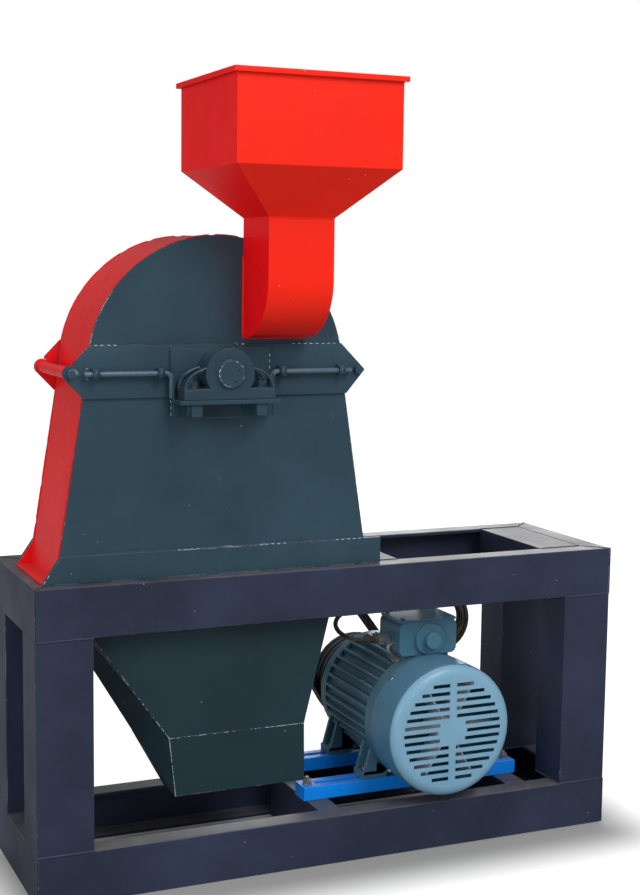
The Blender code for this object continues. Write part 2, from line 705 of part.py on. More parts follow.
def build_hopper():
    x0, x1 = HOPPER_X - HOPPER_WIDTH / 2, HOPPER_X + HOPPER_WIDTH / 2
    y0, y1 = HOPPER_FRONT, HOPPER_FRONT + HOPPER_DEPTH
    c0, c1 = HOPPER_X - CHUTE_WIDTH / 2, HOPPER_X + CHUTE_WIDTH / 2
    back = CASING_FRONT - GAP
    sections = [
        (HOPPER_TOP, x0, x1, y0, y1),
        (HOPPER_BEND, x0, x1, y0, y1),
        (HOPPER_THROAT, c0, c1, back - CHUTE_DEPTH, back),
    ]
    node_from(duct_mesh(sections, SHEET), "hopper_bin", "red", "cover")
    rim_low = HOPPER_TOP - RIM_HEIGHT
    x0, x1, y0, y1 = x0 - RIM_WIDTH, x1 + RIM_WIDTH, y0 - RIM_WIDTH, y1 + RIM_WIDTH
    rim = duct_mesh([(HOPPER_TOP, x0, x1, y0, y1), (rim_low, x0, x1, y0, y1)], RIM_WIDTH - GAP)
    node_from(rim, "hopper_rim", "red", "cover")


def build_discharge():
    front = CHANNEL_FLANGE + GAP
    back = front + DISCHARGE_FOOT_DEPTH
    top_left, foot_left = DISCHARGE_TOP_X[0], DISCHARGE_FOOT_X[0]
    drop = (DISCHARGE_TOP - DISCHARGE_BEND) / (DISCHARGE_TOP - DISCHARGE_FOOT)
    straight = top_left + (foot_left - top_left) * drop     # the left side's back edge has no bend
    sections = [
        (DISCHARGE_TOP, *DISCHARGE_TOP_X, front, front + DISCHARGE_TOP_DEPTH, top_left),
        (DISCHARGE_BEND, *DISCHARGE_BEND_X, front, back, straight),
        (DISCHARGE_FOOT, *DISCHARGE_FOOT_X, front + DISCHARGE_TUCK, back, foot_left),
    ]
    node_from(tapered_duct_mesh(sections, SHEET), "discharge_hopper", "teal", "stand")


# ---- bearings
def block_outline():
    """A pillow block's front view: a foot with a round housing over the shaft."""
    base = SPLIT_Z - BLOCK_CENTRE
    foot = base + BLOCK_FOOT
    lean = math.degrees(math.asin((foot - SPLIT_Z) / BLOCK_RADIUS)) + 4
    arch = arc((CASING_X, SPLIT_Z), BLOCK_RADIUS, lean, 180 - lean, 24)
    right = [(CASING_X + BLOCK_HALF, base), (CASING_X + BLOCK_HALF, foot)]
    left = [(CASING_X - BLOCK_HALF, foot), (CASING_X - BLOCK_HALF, base)]
    return right + arch + left


def build_bearing(place, low, high, proud):
    name = place + "_bearing"
    block = node_from(prism_mesh(block_outline(), low, high), name, "iron", "stand")
    ring = (low - INSERT_PROUD, low + LAP) if proud < 0 else (high - LAP, high + INSERT_PROUD)
    insert = turned_mesh([(INSERT_RADIUS, ring[0]), (INSERT_RADIUS, ring[1])], ROUND)
    combine(block, insert, "UNION", (CASING_X, 0, SPLIT_Z), (-90, 0, 0))
    radius = SHAFT_RADIUS + RUN_GAP
    bore = turned_mesh([(radius, low - 2 * PASS), (radius, high + 2 * PASS)], ROUND)
    combine(block, bore, "DIFFERENCE", (CASING_X, 0, SPLIT_Z), (-90, 0, 0))
    smooth(block)


def plate_outline(side):
    """The bearing plate above (1) or below (-1) the split."""
    edge = SPLIT_Z + side * GAP
    far = SPLIT_Z + (PLATE_TOP if side > 0 else -PLATE_FOOT)
    notch = arc((CASING_X, SPLIT_Z), SHAFT_NOTCH, side * 179, side, 16)
    right = [(CASING_X + PLATE_HALF, edge), (CASING_X + PLATE_HALF, far)]
    return notch + right + [(2 * CASING_X - x, z) for x, z in reversed(right)]


def build_bracket(place, plate, shelf):
    """A lower bearing plate with the shelf and gussets that carry the block."""
    node = node_from(prism_mesh(plate_outline(-1), *plate), place + "_bracket", "teal", "stand")
    low = (CASING_X - PLATE_HALF, shelf[0], SHELF_TOP - SHELF_THICK)
    high = (CASING_X + PLATE_HALF, shelf[1], SHELF_TOP)
    combine(node, box_mesh(low, high), "UNION")
    for side in (-1, 1):
        x = CASING_X + side * GUSSET_X
        low = (x - GUSSET_WIDTH / 2, shelf[0] + GUSSET_SETBACK, SHELF_TOP - SHELF_THICK - GUSSET_HEIGHT)
        high = (x + GUSSET_WIDTH / 2, shelf[1] - GUSSET_LAP, SHELF_TOP - SHELF_THICK / 2)
        if shelf[1] > CASING_MIDDLE:
            low = (low[0], shelf[0] + GUSSET_LAP, low[2])
            high = (high[0], shelf[1] - GUSSET_SETBACK, high[2])
        combine(node, box_mesh(low, high), "UNION")


def build_bearings():
    block = (BLOCK_BACK - BLOCK_WIDTH, BLOCK_BACK)
    plate = (PLATE_FRONT, PLATE_FRONT + PLATE_THICK)
    shelf = (block[0] - SHELF_OVERHANG, PLATE_FRONT + PLATE_THICK / 2)
    build_bearing("front", *block, -1)
    build_bearing("back", *mirrored(*block), 1)
    build_bracket("front", plate, shelf)
    build_bracket("back", mirrored(*plate), mirrored(*shelf))


# ---- latch rods
def rod_path(side):
    """Rod centre line in X and Z, from its outer end to the handle's tip."""
    corner = side * ROD_BEND
    points = [(side * ROD_START, 0.0), (corner + side * ROD_TURN, 0.0)]
    centre = (corner + side * ROD_TURN, -ROD_TURN)
    points += [(centre[0] - side * x, centre[1] + z) for x, z in arc((0, 0), ROD_TURN, 75, 0, 5)]
    points.append((corner, -ROD_HANDLE))
    return [(CASING_X + x, z) for x, z in points]


def build_rods():
    for name, side in (("latch_rod_left", -1), ("latch_rod_right", 1)):
        curve = bpy.data.curves.new(name, "CURVE")
        curve.dimensions = "3D"
        curve.bevel_depth = ROD_RADIUS
        curve.bevel_resolution = 2
        curve.use_fill_caps = True
        path = rod_path(side)
        spline = curve.splines.new("POLY")
        spline.points.add(len(path) - 1)
        for point, (x, z) in zip(spline.points, path):
            point.co = (x, 0.0, z, 1.0)
        curve.materials.append(MATERIALS["teal"])
        node = bpy.data.objects.new(name, curve)
        node.parent = BODIES["rods"]
        bpy.context.collection.objects.link(node)


# ---- rotor
def build_rotor():
    first, last = DISC_Y
    gap = DISC_THICK / 2 + GAP
    shaft = [
        (SHAFT_RADIUS, SHAFT_FRONT),
        (SHAFT_RADIUS, first - gap - COLLAR_LENGTH),
        (COLLAR_RADIUS, first - gap - COLLAR_LENGTH),
        (COLLAR_RADIUS, first - gap),
        (SHAFT_RADIUS, first - gap),
        (SHAFT_RADIUS, first + gap),
        (COLLAR_RADIUS, first + gap),
        (COLLAR_RADIUS, last - gap),
        (SHAFT_RADIUS, last - gap),
        (SHAFT_RADIUS, last + gap),
        (COLLAR_RADIUS, last + gap),
        (COLLAR_RADIUS, last + gap + COLLAR_LENGTH),
        (SHAFT_RADIUS, last + gap + COLLAR_LENGTH),
        (SHAFT_RADIUS, SHAFT_BACK),
    ]
    turned_along_y("rotor_shaft", shaft, "steel", "rotor", CASING_X, SPLIT_Z)
    for name, middle in (("rotor_disc_front", first), ("rotor_disc_back", last)):
        low, high = middle - DISC_THICK / 2, middle + DISC_THICK / 2
        bore = SHAFT_RADIUS + GAP
        profile = [(bore, low), (DISC_RADIUS, low), (DISC_RADIUS, high), (bore, high)]
        disc = turned_along_y(name, profile, "iron", "rotor", CASING_X, SPLIT_Z, bored=True)
        for x, z in hammer_pin_places():
            add_pin(disc, x, z, (first, last), name == "rotor_disc_front")
    build_hammers(first, last)
    build_pulley("rotor_pulley", ROTOR_PULLEY_RADIUS, SHAFT_RADIUS, "rotor", CASING_X, SPLIT_Z)


def hammer_pin_places():
    return arc((CASING_X, SPLIT_Z), HAMMER_PIN_CIRCLE, 45, 315, 3)


def add_pin(disc, x, z, span, carries):
    """The front disc carries the hammer pins; the back one has holes for them."""
    end = span[1] + DISC_THICK / 2
    if carries:
        pin = turned_mesh([(HAMMER_PIN_RADIUS, span[0]), (HAMMER_PIN_RADIUS, end)], 24)
        combine(disc, pin, "UNION", (x, 0, z), (-90, 0, 0), "rotor")
    else:
        radius = HAMMER_PIN_RADIUS + RUN_GAP
        hole = turned_mesh([(radius, span[1] - 2 * PASS), (radius, end + 2 * PASS)], 24)
        combine(disc, hole, "DIFFERENCE", (x, 0, z), (-90, 0, 0), "rotor")


def build_hammers(first, last):
    """Four hammers, hanging from their pins, side by side along the rotor."""
    pitch = (last - first) / 5
    tip = HAMMER_LENGTH
    half = HAMMER_WIDTH / 2
    for index, (x, z) in enumerate(hammer_pin_places()):
        head = arc((x, z), half, 0, 180, 12)
        outline = head + [(x - half, z - tip), (x + half, z - tip)]
        middle = first + (index + 1) * pitch
        low, high = middle - HAMMER_THICK / 2, middle + HAMMER_THICK / 2
        node = node_from(prism_mesh(outline, low, high), f"hammer_{index + 1}", "iron", "rotor")
        radius = HAMMER_PIN_RADIUS + HAMMER_GAP
        hole = turned_mesh([(radius, low - PASS), (radius, high + PASS)], 24)
        combine(node, hole, "DIFFERENCE", (x, 0, z), (-90, 0, 0), "rotor")


def build_screen():
    centre = (CASING_X, SPLIT_Z)
    start, end = 270 - SCREEN_HALF_ANGLE, 270 + SCREEN_HALF_ANGLE
    outline = arc(centre, SCREEN_RADIUS, start, end, 28)
    outline += arc(centre, SCREEN_RADIUS + SCREEN_THICK, end, start, 28)
    low, high = CASING_FRONT + CASING_WALL + GAP, CASING_BACK - CASING_WALL - GAP
    smooth(node_from(prism_mesh(outline, low, high), "screen", "steel", "stand"))


# ---- belt drive
def build_pulley(name, radius, bore, body, x, z):
    low, high = PULLEY_Y - PULLEY_WIDTH / 2, PULLEY_Y + PULLEY_WIDTH / 2
    profile = [(bore + GAP, low), (radius, low)]
    for middle in (PULLEY_Y - GROOVE_PITCH / 2, PULLEY_Y + GROOVE_PITCH / 2):
        profile += [
            (radius, middle - GROOVE_TOP),
            (radius - GROOVE_DEPTH, middle - GROOVE_FLOOR),
            (radius - GROOVE_DEPTH, middle + GROOVE_FLOOR),
            (radius, middle + GROOVE_TOP),
        ]
    profile += [(radius, high), (bore + GAP, high)]
    turned_along_y(name, profile, "iron", body, x, z, ROUND, bored=True)


def belt_section():
    """(outward, y) points of a two-ribbed belt, from the pulley's outer radius."""
    slope = (GROOVE_TOP - GROOVE_FLOOR) / GROOVE_DEPTH
    tip = BELT_FLOOR_GAP - GROOVE_DEPTH
    tip_half = GROOVE_TOP + slope * tip - BELT_SIDE_GAP
    base_half = GROOVE_TOP + slope * BELT_LIFT - BELT_SIDE_GAP
    points = []
    for middle in (PULLEY_Y - GROOVE_PITCH / 2, PULLEY_Y + GROOVE_PITCH / 2):
        points += [
            (BELT_LIFT, middle - base_half),
            (tip, middle - tip_half),
            (tip, middle + tip_half),
            (BELT_LIFT, middle + base_half),
        ]
    edge = GROOVE_PITCH / 2 + base_half
    return points + [(BELT_BACK, PULLEY_Y + edge), (BELT_BACK, PULLEY_Y - edge)]


def build_belt():
    """The belt runs straight between the two pulleys and round their far sides."""
    small, large = Vector((CASING_X, SPLIT_Z)), Vector((MOTOR_X, MOTOR_Z))
    line = small - large
    heading = math.degrees(math.atan2(line.y, line.x))
    lean = math.degrees(math.acos((MOTOR_PULLEY_RADIUS - ROTOR_PULLEY_RADIUS) / line.length))
    stops = []
    turns = (
        (small, ROTOR_PULLEY_RADIUS, heading - lean, heading + lean),
        (large, MOTOR_PULLEY_RADIUS, heading + lean, heading - lean + 360),
    )
    for centre, radius, start, end in turns:
        for i in range(19):
            angle = math.radians(start + (end - start) * i / 18)
            stops.append((centre, radius, Vector((math.cos(angle), math.sin(angle)))))
    bm = bmesh.new()
    rings = []
    for centre, radius, outward in stops:
        ring = []
        for out, y in belt_section():
            place = centre + outward * (radius + out)
            ring.append(bm.verts.new((place.x, y, place.y)))
        rings.append(ring)
    for ring, other in zip(rings, rings[1:] + rings[:1]):
        join_rings(bm, ring, other)
    smooth(node_from(bm, "drive_belt", "rubber", "stand"))


# ---- motor
def fin_outline():
    """The frame's front view; each fin is drawn in shares of the pitch."""
    fin = ((-0.22, FRAME_RADIUS), (-0.12, FIN_RADIUS), (0.12, FIN_RADIUS), (0.22, FRAME_RADIUS))
    pitch = 2 * math.pi / FINS
    points = []
    for i in range(FINS):
        for share, radius in fin:
            angle = (i + share) * pitch
            points.append((MOTOR_X + radius * math.cos(angle), MOTOR_Z + radius * math.sin(angle)))
    return points


def foot_outline():
    """Front view of a right foot, up to the frame's side."""
    out, inner = FOOT_HALF_SPAN + FOOT_PAD_HALF, FOOT_HALF_SPAN - FOOT_PAD_HALF
    right = [
        (MOTOR_X + inner, MOTOR_BASE),
        (MOTOR_X + out, MOTOR_BASE),
        (MOTOR_X + out, MOTOR_BASE + FOOT_THICK),
        (MOTOR_X + FOOT_HALF_SPAN - FOOT_LIP, MOTOR_BASE + FOOT_THICK),
        (MOTOR_X + FOOT_HALF_SPAN - FOOT_LIP, MOTOR_BASE + FOOT_WEB_TOP),
        (MOTOR_X + FOOT_WEB_HALF, MOTOR_BASE + FOOT_WEB_TOP),
    ]
    return right


def build_motor_frame():
    motor = node_from(prism_mesh(fin_outline(), FINS_FRONT, FINS_BACK), "motor_frame", "motor", "stand")
    axis, turn = (MOTOR_X, 0, MOTOR_Z), (-90, 0, 0)
    seat = FAN_COVER_RADIUS - FAN_COVER_WALL - 2 * GAP
    front = turned_mesh([(seat, FAN_COVER_BACK - SPIGOT_LENGTH), (seat, FINS_FRONT + LAP)], WIDE_ROUND)
    combine(motor, front, "UNION", axis, turn)
    shield = [
        (SHIELD_RADIUS, FINS_BACK - LAP),
        (SHIELD_RADIUS, FINS_BACK + SHIELD_RIM),
        (SHIELD_SHOULDER, SHIELD_BACK - SHIELD_CONE),
        (SHIELD_NOSE, SHIELD_BACK),
    ]
    combine(motor, turned_mesh(shield, WIDE_ROUND), "UNION", axis, turn)
    for middle in (FOOT_FRONT, FOOT_FRONT + FOOT_SPACING):
        low, high = middle - FOOT_LENGTH / 2, middle + FOOT_LENGTH / 2
        outline = foot_outline()
        combine(motor, prism_mesh(outline, low, high), "UNION")
        left = [(2 * MOTOR_X - x, z) for x, z in outline]
        combine(motor, prism_mesh(left, low, high), "UNION")
    low = (MOTOR_X - NECK_HALF, BOX_FRONT + NECK_INSET, MOTOR_Z + FRAME_RADIUS - NECK_SINK)
    high = (MOTOR_X + NECK_HALF, BOX_BACK - NECK_INSET, BOX_BASE - GAP)
    combine(motor, box_mesh(low, high), "UNION")
    bore = MOTOR_SHAFT_RADIUS + RUN_GAP
    tool = turned_mesh([(bore, 0.0), (bore, MOTOR_SHAFT_BACK)], ROUND)
    combine(motor, tool, "DIFFERENCE", axis, turn)


def build_fan_cover():
    front, back = FAN_COVER_FRONT, FAN_COVER_BACK
    centre = (FAN_COVER_RADIUS - FAN_COVER_ROUND, front + FAN_COVER_ROUND)
    outer = arc(centre, FAN_COVER_ROUND, 270, 360, 4)
    inner = arc(centre, FAN_COVER_ROUND - FAN_COVER_WALL, 360, 270, 4)
    profile = [(0.001, front)] + outer + [(FAN_COVER_RADIUS, back)]
    profile += [(FAN_COVER_RADIUS - FAN_COVER_WALL, back)] + inner + [(0.001, front + FAN_COVER_WALL)]
    bm = turned_mesh(profile, WIDE_ROUND, bored=True)
    cover = node_from(bm, "fan_cover", "motor", "stand", (MOTOR_X, 0, MOTOR_Z), (-90, 0, 0))
    plug = turned_mesh([(0.004, front + 0.0002), (0.004, front + FAN_COVER_WALL - 0.0002)], 12)
    combine(cover, plug, "UNION", (MOTOR_X, 0, MOTOR_Z), (-90, 0, 0))
    rows = int(GRILLE_RADIUS / GRILLE_PITCH)
    slots = bmesh.new()
    for row in range(-rows, rows + 1):
        z = row * GRILLE_PITCH
        end = math.sqrt(max(GRILLE_RADIUS ** 2 - (abs(z) + GRILLE_SLOT / 2) ** 2, 0.0))
        start = math.sqrt(max(GRILLE_HUB ** 2 - z ** 2, 0.008 ** 2))
        if end - start > 3 * GRILLE_SLOT:
            add_slot_pair(slots, start, end, z)
    combine(cover, slots, "DIFFERENCE", (MOTOR_X, 0, MOTOR_Z))
    smooth(cover)


def add_slot_pair(bm, start, end, z):
    for side in (-1, 1):
        low = (min(side * start, side * end), FAN_COVER_FRONT - PASS, z - GRILLE_SLOT / 2)
        high = (max(side * start, side * end), FAN_COVER_FRONT + PASS, z + GRILLE_SLOT / 2)
        size = [b - a for a, b in zip(low, high)]
        middle = [(a + b) / 2 for a, b in zip(low, high)]
        place = Matrix.Translation(middle) @ Matrix.Diagonal((*size, 1.0))
        bmesh.ops.create_cube(bm, size=1.0, matrix=place)


def build_motor_rotor():
    seat = FAN_COVER_BACK - FAN_SEAT_ROOM
    shaft = [
        (FAN_SEAT_RADIUS, FAN_COVER_FRONT + SHAFT_TIP_ROOM),
        (FAN_SEAT_RADIUS, seat),
        (MOTOR_SHAFT_RADIUS, seat),
        (MOTOR_SHAFT_RADIUS, MOTOR_SHAFT_BACK),
    ]
    turned_along_y("motor_shaft", shaft, "steel", "motor", MOTOR_X, MOTOR_Z)
    low, high = FAN_COVER_FRONT + FAN_ROOM, seat - FAN_HUB_ROOM
    bore = FAN_SEAT_RADIUS + GAP
    hub = [(bore, low), (FAN_HUB_RADIUS, low), (FAN_HUB_RADIUS, high), (bore, high)]
    fan = turned_along_y("cooling_fan", hub, "iron", "motor", MOTOR_X, MOTOR_Z, bored=True)
    half = FAN_BLADE_THICK / 2
    for i in range(FAN_BLADES):
        blade = box_mesh((FAN_BLADE_ROOT, -half, low + LAP), (FAN_RADIUS, half, high - 2 * LAP))
        combine(fan, blade, "UNION", (MOTOR_X, 0, MOTOR_Z), (-90, 360 / FAN_BLADES * i, 0), "motor")
    build_pulley("motor_pulley", MOTOR_PULLEY_RADIUS, MOTOR_SHAFT_RADIUS, "motor", MOTOR_X, MOTOR_Z)


def rounded_rectangle(x0, x1, z0, z1, radius):
    corners = (
        (x1 - radius, z1 - radius, 0),
        (x0 + radius, z1 - radius, 90),
        (x0 + radius, z0 + radius, 180),
        (x1 - radius, z0 + radius, 270),
    )
    points = []
    for x, z, start in corners:
        points += arc((x, z), radius, start, start + 90, 4)
    return points


def build_terminal_box():
    outline = rounded_rectangle(MOTOR_X - BOX_HALF, MOTOR_X + BOX_HALF, BOX_BASE, BOX_TOP, BOX_CORNER)
    box = node_from(prism_mesh(outline, BOX_FRONT, BOX_BACK), "terminal_box", "motor", "stand")
    inlet = (MOTOR_X, 0, BOX_BASE + INLET_RADIUS + INLET_RISE)
    flange = turned_mesh([(INLET_RADIUS, BOX_FRONT - INLET_FLANGE), (INLET_RADIUS, BOX_FRONT + LAP)], 24)
    combine(box, flange, "UNION", inlet, (-90, 0, 0))
    boss = turned_mesh([(INLET_BOSS_RADIUS, BOX_FRONT - INLET_BOSS), (INLET_BOSS_RADIUS, BOX_FRONT)], 24)
    combine(box, boss, "UNION", inlet, (-90, 0, 0))
    gland = turned_mesh([(GLAND_RADIUS, -GLAND_LENGTH), (GLAND_RADIUS, 2 * LAP)], 24)
    place = (MOTOR_X - BOX_HALF, (BOX_FRONT + BOX_BACK) / 2, GLAND_Z)
    combine(box, gland, "UNION", place, (0, 90, 0))
    smooth(box)


def build_rails():
    for name, middle in (("slide_rail_front", FOOT_FRONT), ("slide_rail_back", FOOT_FRONT + FOOT_SPACING)):
        low = (RAIL_LEFT, middle - RAIL_WIDTH / 2, RAIL_BASE)
        high = (RAIL_RIGHT, middle + RAIL_WIDTH / 2, RAIL_BASE + RAIL_HEIGHT)
        rail = node_from(box_mesh(low, high), name, "blue", "stand")
        slot_low = (low[0] + RAIL_SLOT_INSET, middle - RAIL_SLOT / 2, RAIL_BASE - PASS)
        slot_high = (high[0] - RAIL_SLOT_INSET, middle + RAIL_SLOT / 2, high[2] + PASS)
        combine(rail, box_mesh(slot_low, slot_high), "DIFFERENCE")


# ---- cable
def cable_route():
    """From the gland, up behind the box, and straight in to the coil as its outer turn leaves it."""
    start = (MOTOR_X - BOX_HALF - GLAND_LENGTH - GAP, (BOX_FRONT + BOX_BACK) / 2, GLAND_Z)
    route = [
        start,
        (start[0] - 0.020, start[1], start[2]),
        (0.712, 0.133, 0.437),
        (0.697, 0.163, 0.450),
        (0.708, 0.193, 0.466),
        (0.745, 0.211, 0.480),
        (0.795, 0.217, 0.492),
        (0.845, 0.216, 0.494),
    ]
    last, centre = Vector(route[-1]), Vector((COIL_X, COIL_Y, COIL_Z))
    turn = COIL_RADIUS - CABLE_RADIUS - COIL_SLACK
    across, up = last.x - centre.x, last.z - centre.z
    touch = math.atan2(up, across) - math.acos(turn / math.hypot(across, up))
    meeting = centre + turn * Vector((math.cos(touch), 0, math.sin(touch)))
    inward = (meeting - last).normalized()
    clear = math.sqrt((COIL_RADIUS + GAP) ** 2 - (turn - CABLE_RADIUS) ** 2)
    for back in (clear + RUN_IN, clear):
        route.append(tuple(meeting - back * inward))
    return route


def smooth_points(route, spacing):
    """Even points on a smooth curve through the route's own points."""
    route = [Vector(point) for point in route]
    padded = [2 * route[0] - route[1]] + route + [2 * route[-1] - route[-2]]
    fine = []
    for a, b, c, d in zip(padded, padded[1:], padded[2:], padded[3:]):
        for i in range(16):
            t = i / 16
            bend = (2 * a - 5 * b + 4 * c - d) * t ** 2 + (3 * b - a - 3 * c + d) * t ** 3
            fine.append(0.5 * (2 * b + (c - a) * t + bend))
    fine.append(route[-1])
    kept, travelled = [fine[0]], 0.0
    for last, point in zip(fine, fine[1:]):
        travelled += (point - last).length
        if travelled >= spacing:
            kept.append(point)
            travelled = 0.0
    if (kept[-1] - fine[-1]).length < spacing / 2:
        kept.pop()
    return kept + [fine[-1]]


def build_cable():
    curve = bpy.data.curves.new("motor_cable", "CURVE")
    curve.dimensions = "3D"
    curve.bevel_depth = CABLE_RADIUS
    curve.bevel_resolution = 3
    curve.use_fill_caps = True
    points = smooth_points(cable_route(), 5 * CABLE_RADIUS)
    spline = curve.splines.new("POLY")
    spline.points.add(len(points) - 1)
    for point, place in zip(spline.points, points):
        point.co = (*place, 1.0)
    curve.materials.append(MATERIALS["sheath"])
    node = bpy.data.objects.new("motor_cable", curve)
    node.parent = BODIES["stand"]
    bpy.context.collection.objects.link(node)
    low, high = COIL_Y - COIL_HALF, COIL_Y + COIL_HALF
    coil = [
        (COIL_BORE, low + COIL_EDGE),
        (COIL_BORE + COIL_EDGE, low),
        (COIL_RADIUS - COIL_EDGE, low),
        (COIL_RADIUS, low + COIL_EDGE),
        (COIL_RADIUS, high - COIL_EDGE),
        (COIL_RADIUS - COIL_EDGE, high),
        (COIL_BORE + COIL_EDGE, high),
        (COIL_BORE, high - COIL_EDGE),
    ]
    turned_along_y("cable_coil", coil, "sheath", "stand", COIL_X, COIL_Z, bored=True)


clear_scene()
MATERIALS = {name: make_material(name) for name in COLOURS}
BODIES = make_bodies()
build_stand()
build_lower_casing()
build_lower_bands()
build_cover()
build_hinge()
build_chute()
build_hopper()
build_discharge()
build_bearings()
build_rods()
build_rotor()
build_screen()
build_belt()
build_rails()
build_motor_frame()
build_fan_cover()
build_motor_rotor()
build_terminal_box()
build_cable()
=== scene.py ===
import math
import random
import bmesh
import bpy
from mathutils import Matrix, Vector


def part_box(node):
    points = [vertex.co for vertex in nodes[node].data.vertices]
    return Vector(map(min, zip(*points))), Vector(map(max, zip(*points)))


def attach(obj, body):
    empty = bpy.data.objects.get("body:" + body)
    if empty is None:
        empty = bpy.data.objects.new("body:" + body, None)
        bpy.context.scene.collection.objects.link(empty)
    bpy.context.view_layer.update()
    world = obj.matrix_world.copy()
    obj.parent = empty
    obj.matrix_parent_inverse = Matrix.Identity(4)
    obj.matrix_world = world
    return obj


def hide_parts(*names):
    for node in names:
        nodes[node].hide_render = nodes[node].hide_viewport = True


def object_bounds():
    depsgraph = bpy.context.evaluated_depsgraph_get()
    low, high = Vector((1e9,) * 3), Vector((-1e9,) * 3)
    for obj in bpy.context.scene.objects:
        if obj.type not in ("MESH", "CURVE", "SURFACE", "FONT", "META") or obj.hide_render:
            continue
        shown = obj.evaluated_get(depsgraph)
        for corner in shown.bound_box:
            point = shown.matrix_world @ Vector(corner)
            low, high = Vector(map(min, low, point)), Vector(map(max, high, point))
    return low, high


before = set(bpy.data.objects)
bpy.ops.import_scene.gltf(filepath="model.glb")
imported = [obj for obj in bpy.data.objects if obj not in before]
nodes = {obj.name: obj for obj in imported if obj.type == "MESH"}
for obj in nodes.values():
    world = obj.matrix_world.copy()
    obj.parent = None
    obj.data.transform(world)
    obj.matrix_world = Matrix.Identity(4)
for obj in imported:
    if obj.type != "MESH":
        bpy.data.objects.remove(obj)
cad_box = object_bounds()


# ---------------------------------------------------------------- camera
# A long lens at the height of the casing's top, to the left of the mill's front,
# so that the left side of the stand and of the hopper are seen at a slant.
view = bpy.data.cameras.new("view")
view.lens = 61.8
view.sensor_width = 36.0
camera = bpy.data.objects.new("camera", view)
camera.location = (-1.2781, -2.9004, 1.2190)
camera.rotation_euler = [math.radians(turn) for turn in (83.266, -0.712, -23.699)]
bpy.context.scene.collection.objects.link(camera)
bpy.context.scene.camera = camera


# ---------------------------------------------------------------- motor lead
# A round rubber-sheathed flex of 10 mm. It leaves a tapered rubber sleeve at the gland on the
# box's left, bends back over the frame and is wound into a coil that lies on the motor's fins,
# held by two woven ties. Its free end, cut bare, stays in the coil.
LEAD_RADIUS = 0.005
LEAD_TURNS = 3            # turns in each of the coil's two layers
LAYER_RADII = (0.0656, 0.0526)
TURN_PITCH = 0.0116
RUN_IN = 0.045            # straight lead before the coil's first turn
SLEEVE_LENGTH = 0.030
LEAD_ROUTE = [            # from the gland to the last free point before the coil
    (0.1327, -0.0131, 0.4300),
    (0.1050, -0.0131, 0.4300),
    (0.0820, -0.0069, 0.4315),
    (0.0650, 0.0099, 0.4370),
    (0.0590, 0.0329, 0.4460),
    (0.0650, 0.0559, 0.4560),
    (0.0820, 0.0727, 0.4660),
    (0.1050, 0.0789, 0.4750),
    (0.1500, 0.0795, 0.4870),
    (0.2050, 0.0782, 0.4940),
]


def place_of(name):
    """The middle of a made part."""
    low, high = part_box(name)
    return (low + high) / 2


def feed_node(tree, node, inputs):
    """Gives each input of a node a value, or a link from another node's socket."""
    for key, value in inputs.items():
        if isinstance(value, bpy.types.NodeSocket):
            tree.links.new(value, node.inputs[key])
        else:
            node.inputs[key].default_value = value
    return node


def add_node(tree, kind, inputs=None, **settings):
    """Adds one shader node with its settings and inputs."""
    node = tree.nodes.new("ShaderNode" + kind)
    for key, value in settings.items():
        setattr(node, key, value)
    return feed_node(tree, node, inputs or {})


def effect(name, inputs, outputs):
    """An empty group of shader nodes, with the sockets that it takes in and gives out."""
    group = bpy.data.node_groups.new(name, "ShaderNodeTree")
    for label, kind, value in inputs:
        socket = group.interface.new_socket(label, in_out="INPUT", socket_type="NodeSocket" + kind)
        socket.default_value = value
    for label, kind in outputs:
        group.interface.new_socket(label, in_out="OUTPUT", socket_type="NodeSocket" + kind)
    return group, group.nodes.new("NodeGroupInput").outputs, group.nodes.new("NodeGroupOutput").inputs


def use_effect(tree, group, inputs):
    """Places a group in a material, with its own values."""
    node = tree.nodes.new("ShaderNodeGroup")
    node.node_tree = group
    return feed_node(tree, node, inputs).outputs


def tint(red, green, blue):
    """A colour as it looks on a screen, 0 to 255, as the linear colour that a shader takes."""
    shares = (red / 255, green / 255, blue / 255)
    linear = [c / 12.92 if c <= 10 / 255 else ((c + 0.055) / 1.055) ** 2.4 for c in shares]
    return (*linear, 1.0)


def math_node(tree, operation, first, second=0.0, clamp=False):
    node = add_node(tree, "Math", {0: first, 1: second}, operation=operation, use_clamp=clamp)
    return node.outputs[0]


def mix_colours(tree, factor, first, second):
    node = add_node(tree, "Mix", {0: factor, 6: first, 7: second}, data_type="RGBA")
    return node.outputs[2]


def spread_out(tree, value, low, high, to_low=0.0, to_high=1.0):
    """A value between low and high, stretched to another range and held inside it."""
    return add_node(tree, "MapRange", {0: value, 1: low, 2: high, 3: to_low, 4: to_high}).outputs[0]


def noise_value(tree, scale, detail=4.0, roughness=0.6, stretch=(1.0, 1.0, 1.0)):
    """Noise in the part's own space, in marks per metre, stretched along an axis if wanted."""
    where = add_node(tree, "TexCoord").outputs["Object"]
    if stretch != (1.0, 1.0, 1.0):
        where = add_node(tree, "Mapping", {"Vector": where, "Scale": stretch}).outputs[0]
    inputs = {"Vector": where, "Scale": scale, "Detail": detail, "Roughness": roughness}
    return add_node(tree, "TexNoise", inputs).outputs[0]


def settled_dust_effect():
    """Dust that lies on what faces up, thicker in patches."""
    inputs = [("Amount", "Float", 0.3), ("Patch size", "Float", 9.0)]
    group, given, wanted = effect("Settled dust", inputs, [("Mask", "Float")])
    facing = add_node(group, "NewGeometry").outputs["Normal"]
    upward = add_node(group, "SeparateXYZ", {0: facing}).outputs[2]
    lying = spread_out(group, upward, 0.35, 0.95)
    patches = noise_value(group, given["Patch size"], 7.0, 0.68)
    spread = spread_out(group, patches, 0.32, 0.72, 0.35)
    mask = math_node(group, "MULTIPLY", math_node(group, "MULTIPLY", lying, spread), given["Amount"], True)
    group.links.new(mask, wanted["Mask"])
    return group


